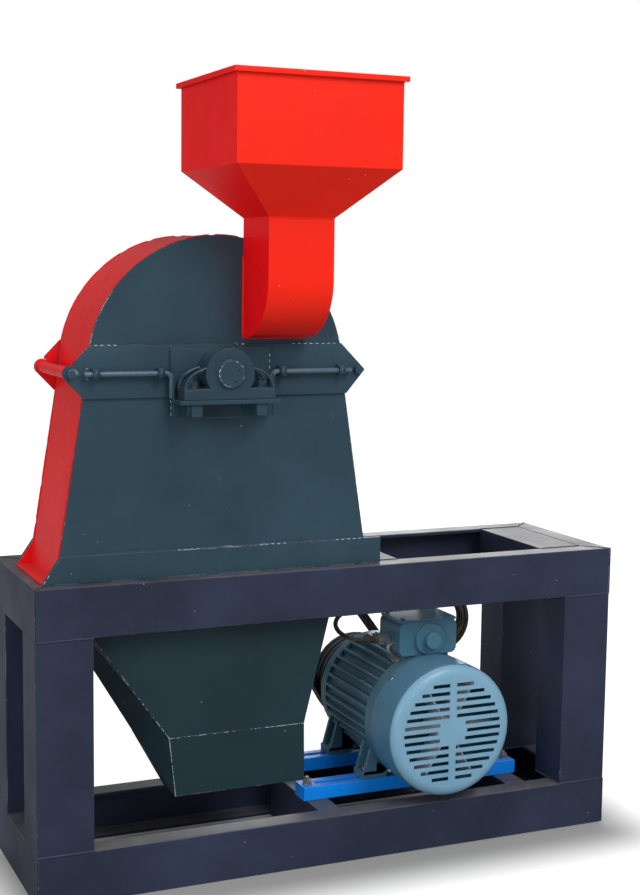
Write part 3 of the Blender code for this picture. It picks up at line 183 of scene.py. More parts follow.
def new_finish(name, metallic=0.0, specular=0.5):
    """A material with its Principled shader, whose plain values are set on its own sockets."""
    finish = bpy.data.materials.new(name)
    finish.use_nodes = True
    shader = finish.node_tree.nodes["Principled BSDF"]
    shader.inputs["Metallic"].default_value = metallic
    shader.inputs["Specular IOR Level"].default_value = specular
    return finish, finish.node_tree, shader


def feel(tree, shader, height, depth):
    """Gives the surface a relief of that depth, in metres, from a height of 0 to 1."""
    bump = add_node(tree, "Bump", {"Height": height, "Strength": 1.0, "Distance": depth})
    tree.links.new(bump.outputs[0], shader.inputs["Normal"])


def rubber_finish(name, colour, chalky):
    """Rubber: matt, a little chalky where it has been bent and handled, finely ribbed."""
    finish, tree, shader = new_finish(name, specular=0.35)
    bloom = noise_value(tree, 60.0, 6.0, 0.7)
    share = spread_out(tree, bloom, 0.42, 0.68)
    grime = use_effect(tree, SETTLED_DUST, {"Amount": 0.35, "Patch size": 40.0})["Mask"]
    body = mix_colours(tree, share, colour, chalky)
    dusty = mix_colours(tree, grime, body, tint(150, 138, 120))
    tree.links.new(dusty, shader.inputs["Base Color"])
    rough = spread_out(tree, bloom, 0.0, 1.0, 0.45, 0.72)
    tree.links.new(rough, shader.inputs["Roughness"])
    feel(tree, shader, noise_value(tree, 900.0, 3.0), 0.0002)
    return finish


def smooth_line(points, spacing):
    """Points every spacing along a Catmull-Rom curve through the given ones."""
    places = [Vector(point) for point in points]
    places = [2 * places[0] - places[1], *places, 2 * places[-1] - places[-2]]
    fine = []
    for a, b, c, d in zip(places, places[1:], places[2:], places[3:]):
        steps = max(2, round((c - b).length / spacing))
        for step in range(steps):
            t = step / steps
            bend = (2 * a - 5 * b + 4 * c - d) * t * t + (3 * b - a - 3 * c + d) * t ** 3
            fine.append((2 * b + (c - a) * t + bend) / 2)
    return fine + [places[-2]]


def line_length(points):
    return sum((after - before).length for before, after in zip(points, points[1:]))


def coil_line(centre, radii, turns, start_angle, first_y):
    """The turns of the coil: down one layer, over to the inner one, and back."""
    points = []
    steps = 36
    total = turns * steps * len(radii)
    for i in range(total + 1):
        layer = min(i // (turns * steps), len(radii) - 1)
        into = i / steps - layer * turns
        run = TURN_PITCH * (turns - 1)
        along = first_y - run * min(max((into - 0.25) / (turns - 0.5), 0.0), 1.0)
        if layer % 2:
            along = first_y - run + (first_y - along)
        change = min(max((i - turns * steps + steps * 0.25) / (steps * 0.5), 0.0), 1.0)
        ease = change * change * (3 - 2 * change)
        radius = radii[0] + (radii[-1] - radii[0]) * ease
        angle = start_angle - 2 * math.pi * i / steps
        points.append(centre + Vector((radius * math.cos(angle), along, radius * math.sin(angle))))
    return points


def piece(name, data, finish, body):
    """Puts a mesh or a curve in the scene with its finish, and lets it ride on its body."""
    made = bpy.data.objects.new(name, data)
    bpy.context.scene.collection.objects.link(made)
    data.materials.append(finish)
    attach(made, body)
    return made


def round_rod(name, points, radius, finish, body):
    """A round rod, wire or flex along a line of points."""
    curve = bpy.data.curves.new(name, "CURVE")
    curve.dimensions = "3D"
    curve.bevel_depth = radius
    curve.bevel_resolution = 5
    curve.use_fill_caps = True
    spline = curve.splines.new("POLY")
    spline.points.add(len(points) - 1)
    for knot, point in zip(spline.points, points):
        knot.co = (*point, 1.0)
    spline.use_smooth = True
    return piece(name, curve, finish, body)


def mesh_piece(name, bm, finish, body):
    """Makes a piece of a bmesh, shaded smooth but for its sharp edges."""
    bmesh.ops.recalc_face_normals(bm, faces=bm.faces)
    data = bpy.data.meshes.new(name)
    bm.to_mesh(data)
    bm.free()
    data.shade_smooth()
    data.set_sharp_from_angle(angle=math.radians(35.0))
    return piece(name, data, finish, body)


def join_rings(bm, rings, closed=False):
    """Adds the faces between rings of corners, then the two ends, or the way back to the first ring."""
    for ring, after in zip(rings, rings[1:] + rings[:1] if closed else rings[1:]):
        for k in range(len(ring)):
            ahead = (k + 1) % len(ring)
            bm.faces.new((ring[k], ring[ahead], after[ahead], after[k]))
    if not closed:
        bm.faces.new(rings[0][::-1])
        bm.faces.new(rings[-1])


def heading(angle):
    """The unit direction at an angle from +X towards +Z."""
    return Vector((math.cos(angle), 0, math.sin(angle)))


def add_turned(bm, base, axis, profile, sides=24, bored=False, phase=0.0):
    """Adds a solid turned about an axis: (radius, height) points from its base up."""
    up = Vector(axis).normalized()
    side = up.orthogonal().normalized()
    other = up.cross(side)
    rings = []
    for radius, height in profile:
        ring = []
        for k in range(sides):
            angle = phase + 2 * math.pi * k / sides
            outward = side * math.cos(angle) + other * math.sin(angle)
            ring.append(bm.verts.new(Vector(base) + up * height + outward * radius))
        rings.append(ring)
    join_rings(bm, rings, bored)


SETTLED_DUST = settled_dust_effect()
sheath = rubber_finish("sheath_rubber", tint(66, 58, 50), tint(98, 88, 78))
cloth_tie = rubber_finish("tie_cloth", tint(120, 112, 98), tint(150, 142, 128))
coil_middle = place_of("cable_coil")
last_free = Vector(LEAD_ROUTE[-1])
reach = last_free - coil_middle
reach_angle = math.atan2(reach.z, reach.x)
reach_length = math.hypot(reach.x, reach.z)
touch_angle = reach_angle - math.acos(LAYER_RADII[0] / reach_length)
first_turn_y = TURN_PITCH * (LEAD_TURNS - 1) / 2
turns_line = coil_line(coil_middle, LAYER_RADII, LEAD_TURNS, touch_angle, first_turn_y)
inward = (turns_line[0] - last_free).normalized()
way_in = smooth_line(LEAD_ROUTE + [turns_line[0] - inward * RUN_IN, turns_line[0]], 0.008)
for _ in range(4):
    eased = [(a + 2 * b + c) / 4 for a, b, c in zip(way_in[1:], way_in[2:-2], way_in[3:])]
    way_in[2:-2] = eased
lead_line = way_in + turns_line[1:]
lead = round_rod("motor_lead", lead_line, LEAD_RADIUS, sheath, "stand")
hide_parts("motor_cable", "cable_coil")

sleeve = bmesh.new()
sleeve_wall = [(LEAD_RADIUS + 0.0002, 0.0), (0.0100, 0.0), (0.0100, 0.004)]
for ring in range(5):
    height = 0.006 + ring * 0.0045
    body_radius = 0.0094 - 0.00055 * ring
    sleeve_wall += [(body_radius, height), (body_radius, height + 0.0028),
                    (body_radius - 0.0013, height + 0.0032)]
sleeve_wall += [(0.0062, SLEEVE_LENGTH), (LEAD_RADIUS + 0.0002, SLEEVE_LENGTH)]
add_turned(sleeve, LEAD_ROUTE[0], (-1, 0, 0), sleeve_wall, 28, bored=True)
mesh_piece("lead_sleeve", sleeve, sheath, "stand")

TIE_WIDTH, TIE_THICK, TIE_ROUND, TIE_SLACK = 0.011, 0.0012, 0.004, 0.0006
ties = bmesh.new()
for angle in (math.radians(62), math.radians(208)):
    outward = heading(angle)
    around = Vector((-math.sin(angle), 0, math.cos(angle)))
    middle = coil_middle + outward * (LAYER_RADII[0] + LAYER_RADII[1]) / 2
    half_r = (LAYER_RADII[0] - LAYER_RADII[1]) / 2 + LEAD_RADIUS + TIE_SLACK
    half_y = first_turn_y + LEAD_RADIUS + TIE_SLACK
    loop = []
    for corner in range(4):
        for step in range(5):
            turn = math.pi / 2 * (corner + step / 4)
            near = (1 if corner in (0, 3) else -1, 1 if corner in (0, 1) else -1)
            loop.append((near[0] * (half_r - TIE_ROUND) + TIE_ROUND * math.cos(turn),
                         near[1] * (half_y - TIE_ROUND) + TIE_ROUND * math.sin(turn)))
    rings = []
    for side, thick in ((-0.5, 0.0), (-0.5, 1.0), (0.5, 1.0), (0.5, 0.0)):
        ring = []
        for a, b in loop:
            grow = 1 + TIE_THICK * thick / max(math.hypot(a, b), 0.008)
            spot = middle + outward * a * grow + Vector((0, b * grow, 0)) + around * TIE_WIDTH * side
            ring.append(ties.verts.new(spot))
        rings.append(ring)
    join_rings(ties, rings, closed=True)
mesh_piece("coil_ties", ties, cloth_tie, "stand")


# ---------------------------------------------------------------- stand
# A welded frame of 100 by 48 mm rolled channel on four posts folded from plate, all in
# dark blue enamel that has chipped to the primer along the edges and gathers mill dust, laid on its upper
# faces thickly enough to be partly a painted top light.
def worn_edges_effect():
    """Paint that has gone along the edges: high where the surface turns, broken up by grain."""
    inputs = [("Reach", "Float", 0.003), ("Amount", "Float", 0.5), ("Grain", "Float", 130.0)]
    group, given, wanted = effect("Worn edges", inputs, [("Mask", "Float")])
    rounded = add_node(group, "Bevel", {"Radius": given["Reach"]}, samples=4).outputs[0]
    facing = add_node(group, "NewGeometry").outputs["Normal"]
    along = add_node(group, "VectorMath", {0: rounded, 1: facing}, operation="DOT_PRODUCT").outputs["Value"]
    edge = spread_out(group, along, 0.995, 0.90)
    grain = noise_value(group, given["Grain"], 5.0, 0.7)
    sweep = noise_value(group, 6.0, 3.0, 0.6)
    half_grain = math_node(group, "MULTIPLY", grain, 0.5)
    blotch = math_node(group, "ADD", half_grain, math_node(group, "MULTIPLY", sweep, 0.5))
    both = math_node(group, "ADD", math_node(group, "MULTIPLY", edge, given["Amount"]), blotch)
    mask = spread_out(group, both, 1.0, 1.04)
    group.links.new(mask, wanted["Mask"])
    return group


def enamel_effect():
    """Enamel as it is sprayed: slow drifts of shade, specks and a fine orange peel."""
    inputs = [("Colour", "Color", (0.5, 0.5, 0.5, 1.0)), ("Shade", "Color", (0.4, 0.4, 0.4, 1.0)),
              ("Gloss", "Float", 0.35), ("Grain", "Float", 1.0)]
    outputs = [("Colour", "Color"), ("Roughness", "Float"), ("Height", "Float")]
    group, given, wanted = effect("Sprayed enamel", inputs, outputs)
    drift = noise_value(group, 4.0, 5.0, 0.6)
    drifted = spread_out(group, drift, 0.35, 0.7)
    body = mix_colours(group, drifted, given["Colour"], given["Shade"])
    grit = noise_value(group, 420.0, 3.0, 0.7)
    specks = spread_out(group, grit, 0.68, 0.76)
    speckled = math_node(group, "MULTIPLY", specks, math_node(group, "MULTIPLY", given["Grain"], 0.10))
    body = mix_colours(group, speckled, body, (0.32, 0.34, 0.36, 1.0))
    peel = noise_value(group, 260.0, 2.0, 0.5)
    waves = noise_value(group, 14.0, 2.0, 0.5)
    smear = spread_out(group, drift, 0.3, 0.7, -0.06, 0.08)
    height = math_node(group, "ADD", math_node(group, "MULTIPLY", peel, 0.14), waves)
    group.links.new(body, wanted["Colour"])
    group.links.new(math_node(group, "ADD", given["Gloss"], smear, True), wanted["Roughness"])
    group.links.new(height, wanted["Height"])
    return group


def marks_effect():
    """Small marks of handling: short rubs, most of them near level or upright, and pale nicks."""
    group, given, wanted = effect("Rubs and nicks", [("Amount", "Float", 0.5)], [("Mask", "Float")])
    level = noise_value(group, 70.0, 3.0, 0.7, (0.3, 0.3, 7.0))
    upright = noise_value(group, 70.0, 3.0, 0.7, (7.0, 7.0, 0.35))
    patch = noise_value(group, 7.0, 3.0, 0.6)
    lines = math_node(group, "MAXIMUM", level, upright)
    both = math_node(group, "ADD", lines, math_node(group, "MULTIPLY", patch, 0.5))
    rubs = spread_out(group, both, 1.03, 1.12, 0.0, 0.6)
    where = add_node(group, "TexCoord").outputs["Object"]
    cells = add_node(group, "TexVoronoi", {"Vector": where, "Scale": 38.0}).outputs
    near = spread_out(group, cells["Distance"], 0.055, 0.035)
    chosen = add_node(group, "SeparateXYZ", {0: cells["Color"]}).outputs[0]
    few = spread_out(group, chosen, 0.70, 0.74)
    nicks = math_node(group, "MULTIPLY", near, few)
    mask = math_node(group, "MULTIPLY", math_node(group, "MAXIMUM", rubs, nicks), given["Amount"])
    group.links.new(mask, wanted["Mask"])
    return group


WORN_EDGES = worn_edges_effect()
ENAMEL = enamel_effect()
MARKS = marks_effect()


def enamel_finish(name, colour, shade, gloss=0.36, worn=0.5, reach=0.003, primer=(188, 192, 196),
                  dust=0.25, marks=0.5, specular=0.3):
    """Sprayed enamel over primer, with worn edges, rubs and dust."""
    finish, tree, shader = new_finish(name, specular=specular)
    paint = use_effect(tree, ENAMEL, {"Colour": colour, "Shade": shade, "Gloss": gloss})
    chips = use_effect(tree, WORN_EDGES, {"Amount": worn, "Reach": reach})["Mask"]
    lines = use_effect(tree, MARKS, {"Amount": marks})["Mask"]
    lying = use_effect(tree, SETTLED_DUST, {"Amount": dust})["Mask"]
    bare = math_node(tree, "MAXIMUM", chips, lines)
    chipped = mix_colours(tree, bare, paint["Colour"], tint(*primer))
    dusty = mix_colours(tree, lying, chipped, tint(138, 134, 126))
    rough = math_node(tree, "MAXIMUM", paint["Roughness"], math_node(tree, "MULTIPLY", bare, 0.7))
    rough = math_node(tree, "MAXIMUM", rough, math_node(tree, "MULTIPLY", lying, 0.9))
    height = math_node(tree, "SUBTRACT", paint["Height"], math_node(tree, "MULTIPLY", chips, 0.25))
    tree.links.new(dusty, shader.inputs["Base Color"])
    tree.links.new(rough, shader.inputs["Roughness"])
    feel(tree, shader, height, 0.0005)
    return finish


def dress(names, finish, edge=0.0012, sharp=30.0, front_finish=None, front_from=0.9):
    """Rounds the edges of made parts and gives them their finish, and another in front if wanted."""
    for name in names:
        part = nodes[name]
        weld = part.modifiers.new("weld", "WELD")
        weld.merge_threshold = 0.00002
        flat = part.modifiers.new("one_face_each", "DECIMATE")
        flat.decimate_type = "DISSOLVE"
        flat.angle_limit = math.radians(0.3)
        flat.delimit = {"MATERIAL"}
        if edge:
            rounding = part.modifiers.new("rounded_edges", "BEVEL")
            rounding.width = edge
            rounding.segments = 2
            rounding.angle_limit = math.radians(sharp)
        normals = part.modifiers.new("even_shading", "WEIGHTED_NORMAL")
        normals.keep_sharp = False
        faces = part.data.polygons
        faces.foreach_set("use_smooth", [True] * len(faces))
        part.data.materials.clear()
        part.data.materials.append(finish)
        if front_finish:
            part.data.materials.append(front_finish)
            faces.foreach_set("material_index", [int(face.normal.y < -front_from) for face in faces])


def add_sweep(bm, points, radii, sides=8):
    """Adds a closed round bar along points, with a radius at each one."""
    rings = []
    count = len(points)
    side = None
    for i, point in enumerate(points):
        ahead = (points[min(i + 1, count - 1)] - points[max(i - 1, 0)]).normalized()
        if side is None:
            side = ahead.orthogonal()
        side = (side - ahead * side.dot(ahead)).normalized()
        other = ahead.cross(side)
        ring = []
        for k in range(sides):
            angle = 2 * math.pi * k / sides
            offset = side * math.cos(angle) + other * math.sin(angle)
            ring.append(bm.verts.new(point + offset * radii[i]))
        rings.append(ring)
    join_rings(bm, rings)


def whole_turn(steps):
    """The angles of a whole turn, with the first one again at its end."""
    return [2 * math.pi * i / steps for i in range(steps + 1)]


def along_line(line, distance):
    """The point of a line of points at a distance from its start."""
    for before, after in zip(line, line[1:]):
        length = (after - before).length
        if distance <= length:
            return before.lerp(after, distance / length)
        distance -= length
    return line[-1].copy()


def weld_runs(bm, line, size, dice, run=None, pitch=None):
    """Adds weld along a line: overlapping ripples, uneven as laid by hand, in one run or stitches."""
    line = [Vector(point) for point in line]
    total = line_length(line)
    run = run or total
    starts = [0.0] if not pitch else [i * pitch for i in range(int((total - run) / pitch) + 1)]
    for start in starts:
        first = start + (dice.uniform(0.0, 0.25) * (pitch - run) if pitch else 0.0)
        steps = max(6, int(run / 0.0026))
        points, radii = [], []
        for i in range(steps + 1):
            point = along_line(line, first + run * i / steps)
            ripple = 0.80 + 0.20 * abs(math.sin(i * math.pi / 2.6))
            fade = min(1.0, 0.5 + min(i, steps - i) / 3)
            points.append(point + Vector([dice.uniform(-0.06, 0.06) * size for _ in range(3)]))
            radii.append(size * ripple * fade * dice.uniform(0.92, 1.06))
        add_sweep(bm, points, radii, 6)


def from_corner(x, y, z):
    """A point measured from the stand's front left bottom corner."""
    return STAND_CORNER + Vector((x, y, z))


def weld_piece(name, bm, finish, body):
    """Makes a piece of weld beads, ground flush where they would stand out past the mill."""
    low, high = cad_box
    for vert in bm.verts:
        vert.co = [min(max(value, a), b) for value, a, b in zip(vert.co, low, high)]
    return mesh_piece(name, bm, finish, body)


STAND_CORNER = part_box("base_beam_front")[0]
dice = random.Random(7)
navy_shades = tint(47, 54, 77), tint(32, 38, 57)
# The stand's heavy dust lightens its upper faces: partly mill dust, partly painted top light.
navy = enamel_finish("stand_enamel", *navy_shades, gloss=0.42, worn=0.47, dust=0.45, specular=0.25)
navy_bead = enamel_finish("stand_bead_enamel", *navy_shades, gloss=0.42, worn=0.30, dust=0.30, specular=0.25)
BEAMS = [level + "_beam_" + side for level in ("base", "top") for side in ("front", "back", "left", "right")]
POSTS = ["post_" + depth + "_" + side for depth in ("front", "back") for side in ("left", "right")]
dress(BEAMS, navy, 0.0022)
dress(POSTS, navy, 0.0016)
dress(["casing_crossmember", "end_crossmember", "motor_crossmember_left", "motor_crossmember_right"],
      navy, 0.0018)

MITRE_REACH = 0.046
stand_welds = bmesh.new()
for name in POSTS:
    low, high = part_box(name)
    for z in (low.z, high.z):
        corners = [(low.x, low.y), (high.x, low.y), (high.x, high.y), (low.x, high.y), (low.x, low.y)]
        for (x0, y0), (x1, y1) in zip(corners, corners[1:]):
            weld_runs(stand_welds, [(x0, y0, z), (x1, y1, z)], 0.0022, dice)
for level in ("base", "top"):
    low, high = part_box(level + "_beam_front")
    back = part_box(level + "_beam_back")[1].y
    for x, inward in ((low.x, 1), (high.x, -1)):
        for y, deeper in ((low.y, 1), (back, -1)):
            inner = (x + inward * MITRE_REACH, y + deeper * MITRE_REACH, high.z)
            mitre = [(x, y, low.z), (x, y, high.z), inner]
            weld_runs(stand_welds, mitre, 0.0014, dice)
for name in ("casing_crossmember", "end_crossmember"):
    low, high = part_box(name)
    for y in (low.y, high.y):
        weld_runs(stand_welds, [(low.x, y, high.z), (high.x, y, high.z)], 0.0016, dice)
weld_piece("stand_welds", stand_welds, navy_bead, "stand")


# ---------------------------------------------------------------- lower casing
# Front and back walls of 6 mm plate with a strip along the stand and a band along the parting
# line, and the bearing plates let into the bands. The strip is welded to the stand in stitches.
# The cover's walls and bands have the same paint. Behind the sides the back ones show red.
slate_shades = tint(46, 71, 85), tint(35, 58, 71)
slate_primer = (204, 210, 214)
slate = enamel_finish("casing_enamel", *slate_shades, gloss=0.36, worn=0.47, dust=0.22, primer=slate_primer)
slate_bead = enamel_finish("casing_bead_enamel", *slate_shades, gloss=0.36, worn=0.33, dust=0.22,
                           primer=slate_primer)
crimson = enamel_finish("side_enamel", tint(228, 11, 21), tint(210, 7, 15), gloss=0.36, worn=0.38,
                        primer=(208, 196, 196), dust=0.10, specular=0.4)
crimson_bead = enamel_finish("side_bead_enamel", tint(222, 11, 21), tint(206, 7, 15), gloss=0.36, worn=0.28,
                             primer=(208, 196, 196), dust=0.10)
for half in ("lower", "upper"):
    dress([half + "_front_wall"], slate, 0.0009)
    dress([half + "_band_front"], slate, 0)
    dress([half + "_back_wall"], slate, 0.0009, front_finish=crimson)
    dress([half + "_band_back"], slate, 0, front_finish=crimson)
dress(["front_bracket", "back_bracket"], slate_bead, 0.0009)

SPLIT_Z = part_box("upper_wrap")[0].z
CASING_X = place_of("rotor_shaft").x
wall_low, wall_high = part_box("lower_front_wall")
strip_left, strip_right = wall_low.x, wall_high.x
casing_welds = bmesh.new()
for y in (wall_low.y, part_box("lower_back_wall")[1].y):
    weld_runs(casing_welds, [(strip_left + 0.01, y, wall_low.z), (strip_right - 0.01, y, wall_low.z)],
              0.0022, dice, 0.045, 0.115)
    foot_line = [(CASING_X + side * 0.314, y + (0.004 if y < 0 else -0.004), 0.6705) for side in (-1, 1)]
    weld_runs(casing_welds, foot_line, 0.0019, dice, 0.060, 0.085)
for place, corner in (("front", 0), ("back", 1)):
    low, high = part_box(place + "_bracket")
    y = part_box("lower_band_" + place)[corner].y
    for x in (low.x, high.x):
        weld_runs(casing_welds, [(x, y, SPLIT_Z - 0.003), (x, y, low.z)], 0.0016, dice)
    weld_runs(casing_welds, [(low.x, y, low.z), (high.x, y, low.z)], 0.0016, dice)


def add_plate(bm, outline, near, far):
    """Adds a flat plate with an outline of X and Z, between two places along Y."""
    join_rings(bm, [[bm.verts.new((x, y, z)) for x, z in outline] for y in (near, far)])


STRIP_HEIGHT = 0.0525
end_left, end_foot = strip_right - 0.0365, wall_low.z + 0.0002
end_top = end_foot + STRIP_HEIGHT
square_end = bmesh.new()
end_outline = [(end_left, end_foot), (strip_right, end_foot), (strip_right, end_top), (end_left, end_top)]
add_plate(square_end, end_outline, wall_low.y + 0.0004, wall_low.y + 0.0054)
mesh_piece("strip_end", square_end, slate, "stand")
weld_piece("casing_welds", casing_welds, slate_bead, "stand")
bare_edge = enamel_finish("bare_edge", tint(206, 211, 214), tint(170, 178, 184), gloss=0.5, worn=0.2,
                          dust=0.2, specular=0.2)
plate_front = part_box("upper_band_front")[0].y
PLATE_HALF = 0.101
strip_front, strip_top = wall_low.y, wall_low.z + 0.0528
plate_left = CASING_X - PLATE_HALF
chip_lines = [[(plate_left, plate_front, SPLIT_Z - 0.084), (plate_left, plate_front, SPLIT_Z - 0.052)]]
for start, end in ((-0.085, -0.030), (0.085, 0.150), (0.250, 0.312)):
    chip_lines.append([(CASING_X + start, strip_front, strip_top), (CASING_X + end, strip_front, strip_top)])
chip_lines.append([(strip_left + 0.003, strip_front, wall_low.z + 0.004),
                   (strip_left + 0.018, strip_front, wall_low.z + 0.026)])


def chipped_edges(name, lines, body):
    """Makes a piece of short runs of bare primer along the edges of the plates."""
    chips = bmesh.new()
    for line in lines:
        weld_runs(chips, line, 0.0007, dice, 0.0062, 0.0125)
    weld_piece(name, chips, bare_edge, body)


chipped_edges("casing_chips", chip_lines, "stand")


# ---------------------------------------------------------------- casing sides
# Bent 5 mm plates between the two walls, turned out over the stand, in bright red and welded
# to the walls' inner faces with long beads.
dress(["lower_left_side", "lower_right_side"], crimson, 0.0009)
side_welds = bmesh.new()
for side in (-1, 1):
    for y in (from_corner(0, 0.0400, 0).y, from_corner(0, 0.2430, 0).y):
        line = [(CASING_X + side * 0.2620, y, SPLIT_Z - 0.004), (CASING_X + side * 0.3155, y, 0.672),
                (CASING_X + side * 0.3235, y, 0.6235)]
        weld_runs(side_welds, line, 0.0020, dice, 0.070, 0.078)
weld_piece("side_welds", side_welds, crimson_bead, "stand")


# ---------------------------------------------------------------- cover
# The upper half of the casing: two half-round walls, the plate bent round between them and
# the upper bands. It swings up on the hinge at the left end.
dress(["upper_wrap"], crimson, 0.0009)
WRAP_RADIUS = 0.2618
cover_welds = bmesh.new()
for y in (from_corner(0, 0.0398, 0).y, from_corner(0, 0.2432, 0).y):
    arc = []
    for i in range(61):
        angle = math.radians(2 + 176 * i / 60)
        arc.append((CASING_X + WRAP_RADIUS * math.cos(angle), y, SPLIT_Z + WRAP_RADIUS * math.sin(angle)))
    weld_runs(cover_welds, arc, 0.0019, dice, 0.050, 0.060)
weld_piece("cover_welds", cover_welds, crimson_bead, "cover")
band_welds = bmesh.new()
BAND_REACH = 0.252
for name, back in (("upper_band_front", 0.0330), ("upper_band_back", 0.2500)):
    y, top = from_corner(0, back, 0).y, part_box(name)[1].z
    line = [(CASING_X - BAND_REACH, y, top), (CASING_X + BAND_REACH, y, top)]
    weld_runs(band_welds, line, 0.0016, dice, 0.035, 0.070)
weld_piece("band_welds", band_welds, slate_bead, "cover")
band_front, band_top = plate_front + 0.0062, SPLIT_Z + 0.0528
plate_right = CASING_X + PLATE_HALF
chip_lines = [[(plate_right, plate_front, SPLIT_Z + 0.003), (plate_right, plate_front, SPLIT_Z + 0.046)]]
for start, end in ((0.150, 0.252), (-0.250, -0.205), (0.030, 0.052)):
    chip_lines.append([(CASING_X + start, band_front, band_top), (CASING_X + end, band_front, band_top)])
chipped_edges("cover_chips", chip_lines, "cover")


# ---------------------------------------------------------------- hinge and closing pin
# A turned pin in the eyes of the lower bands, the tube of the cover on it, and the pin that
# closes the right end, pushed through the ears from front to back.
dress(["hinge_tube"], crimson, 0.0006)
dress(["hinge_pin", "closing_pin"], slate, 0.0006)


# ---------------------------------------------------------------- latch rods
# Two round bars in welded bosses along the parting line, each bent down into a handle, with a
# split pin through the outer end that keeps it in its bosses.
# The rods are painted a lighter slate than the casing, as a painted highlight along them.
rod_highlight_paint = enamel_finish("rod_enamel_painted_highlight", tint(72, 95, 110), tint(60, 82, 98), gloss=0.28, worn=0.5, dust=0.1,
                          primer=slate_primer, specular=0.5)
dress(["latch_rod_left", "latch_rod_right"], rod_highlight_paint, 0.0)
for side in ("left", "right"):
    low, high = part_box("latch_rod_" + side)
    outer_x = low.x + 0.006 if side == "left" else high.x - 0.006
    rod = Vector((outer_x, (low.y + high.y) / 2, high.z - (high.y - low.y) / 2))
    pin = bmesh.new()
    line = [rod + Vector((0, 0, z)) for z in (-0.0112, -0.006, 0.0, 0.004, 0.0072)]
    add_sweep(pin, line, [0.0014] * len(line), 8)
    eye = [rod + Vector((0.0020 * math.sin(a), 0, 0.0092 - 0.0020 * math.cos(a))) for a in whole_turn(12)]
    add_sweep(pin, eye, [0.0010] * len(eye), 6)
    mesh_piece("split_pin_" + side, pin, slate, "latch_" + side)


# ---------------------------------------------------------------- feed hopper and chute
# Bin and chute of 3 mm sheet, welded at the corners, with a flat bar round the rim. The chute
# is welded to the cover's front wall. The sides are painted a deeper red than the front, as painted shade.
scarlet = enamel_finish("hopper_enamel", tint(240, 34, 6), tint(230, 28, 4), gloss=0.34, worn=0.38,
                        primer=(226, 190, 180), dust=0.08, specular=0.25)
hopper_side_shade_red = enamel_finish("hopper_side_painted_shade", tint(240, 6, 12), tint(228, 3, 8), gloss=0.34, worn=0.38,
                         primer=(226, 190, 180), dust=0.05, specular=0.15)
# Faces turned away from the front get the deeper red, a painted shade of the hopper's red.
dress(["hopper_bin", "hopper_rim", "feed_chute"], hopper_side_shade_red, 0.0008, front_finish=scarlet,
      front_from=0.3)
hopper_welds = bmesh.new()
chute_low, chute_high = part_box("feed_chute")
bin_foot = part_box("hopper_bin")[0].z
wall_y = chute_high.y
for x in (chute_low.x, chute_high.x):
    weld_runs(hopper_welds, [(x, wall_y, chute_low.z + 0.002), (x, wall_y, SPLIT_Z + 0.222)], 0.0020, dice)
chute_sill = [(chute_low.x, wall_y, chute_low.z), (chute_high.x, wall_y, chute_low.z)]
weld_runs(hopper_welds, chute_sill, 0.0020, dice)
front_left, front_right = (chute_low.x, chute_low.y, bin_foot), (chute_high.x, chute_low.y, bin_foot)
for line in ([front_left, front_right], [front_left, (chute_low.x, wall_y, bin_foot)],
             [front_right, (chute_high.x, wall_y, bin_foot)]):
    weld_runs(hopper_welds, line, 0.0017, dice)
weld_piece("hopper_welds", hopper_welds, scarlet, "cover")


# ---------------------------------------------------------------- discharge hopper
# A tapered spout of 3 mm sheet under the stand, in a dark green-blue, welded along its front
# fold and its left front corner.
teal = enamel_finish("discharge_enamel", tint(27, 52, 60), tint(22, 44, 51), gloss=0.44, worn=0.5, dust=0.2,
                     specular=0.25)
dress(["discharge_hopper"], teal, 0.0012, sharp=3.0)
spout_seams = bmesh.new()
fold_left, fold_right = from_corner(0.277, 0.0483, 0.289), from_corner(0.567, 0.0483, 0.289)
corner_top, corner_foot = from_corner(0.0518, 0.0483, 0.604), from_corner(0.294, 0.0583, 0.165)
for line in ([fold_left, fold_right], [corner_top, fold_left, corner_foot]):
    weld_runs(spout_seams, line, 0.0011, dice)
weld_piece("spout_seams", spout_seams, teal, "stand")


# ---------------------------------------------------------------- rotor and screen
# Turned shaft, two discs, four swinging hammers of hard steel and the screen, here a plain
# curved sheet. A cap painted like the casing covers the shaft's front end.
def worked_steel(name, colour, shade, rough=0.34):
    """Bare machined steel: fine tool marks, a dull film and spots of rust."""
    finish, tree, shader = new_finish(name, metallic=0.85)
    film = noise_value(tree, 22.0, 6.0, 0.65)
    body = mix_colours(tree, spread_out(tree, film, 0.35, 0.7), colour, shade)
    rust = spread_out(tree, noise_value(tree, 75.0, 7.0, 0.75), 0.62, 0.72)
    body = mix_colours(tree, math_node(tree, "MULTIPLY", rust, 0.5), body, tint(112, 66, 40))
    tree.links.new(body, shader.inputs["Base Color"])
    spread = spread_out(tree, film, 0.3, 0.7, rough - 0.08, rough + 0.16)
    rusty = math_node(tree, "MAXIMUM", spread, math_node(tree, "MULTIPLY", rust, 0.8))
    tree.links.new(rusty, shader.inputs["Roughness"])
    feel(tree, shader, noise_value(tree, 500.0, 3.0, 0.6, (1.0, 0.5, 1.0)), 0.00015)
    return finish


steel = worked_steel("machined_steel", tint(150, 150, 150), tint(112, 112, 112))
dress(["rotor_shaft", "rotor_disc_front", "rotor_disc_back", "screen"], steel, 0.0005)
dress(["hammer_1", "hammer_2", "hammer_3", "hammer_4"], steel, 0.0008)
shaft_front = min(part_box("rotor_shaft")[0].y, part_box("front_bearing")[0].y)
painted_end = bmesh.new()
add_turned(painted_end, (CASING_X, shaft_front - 0.0004, SPLIT_Z), (0, -1, 0),
           [(0.0262, 0.0), (0.0262, 0.0006), (0.0252, 0.0014), (0.0010, 0.0016)], 40)
mesh_piece("painted_shaft_end", painted_end, slate, "rotor")


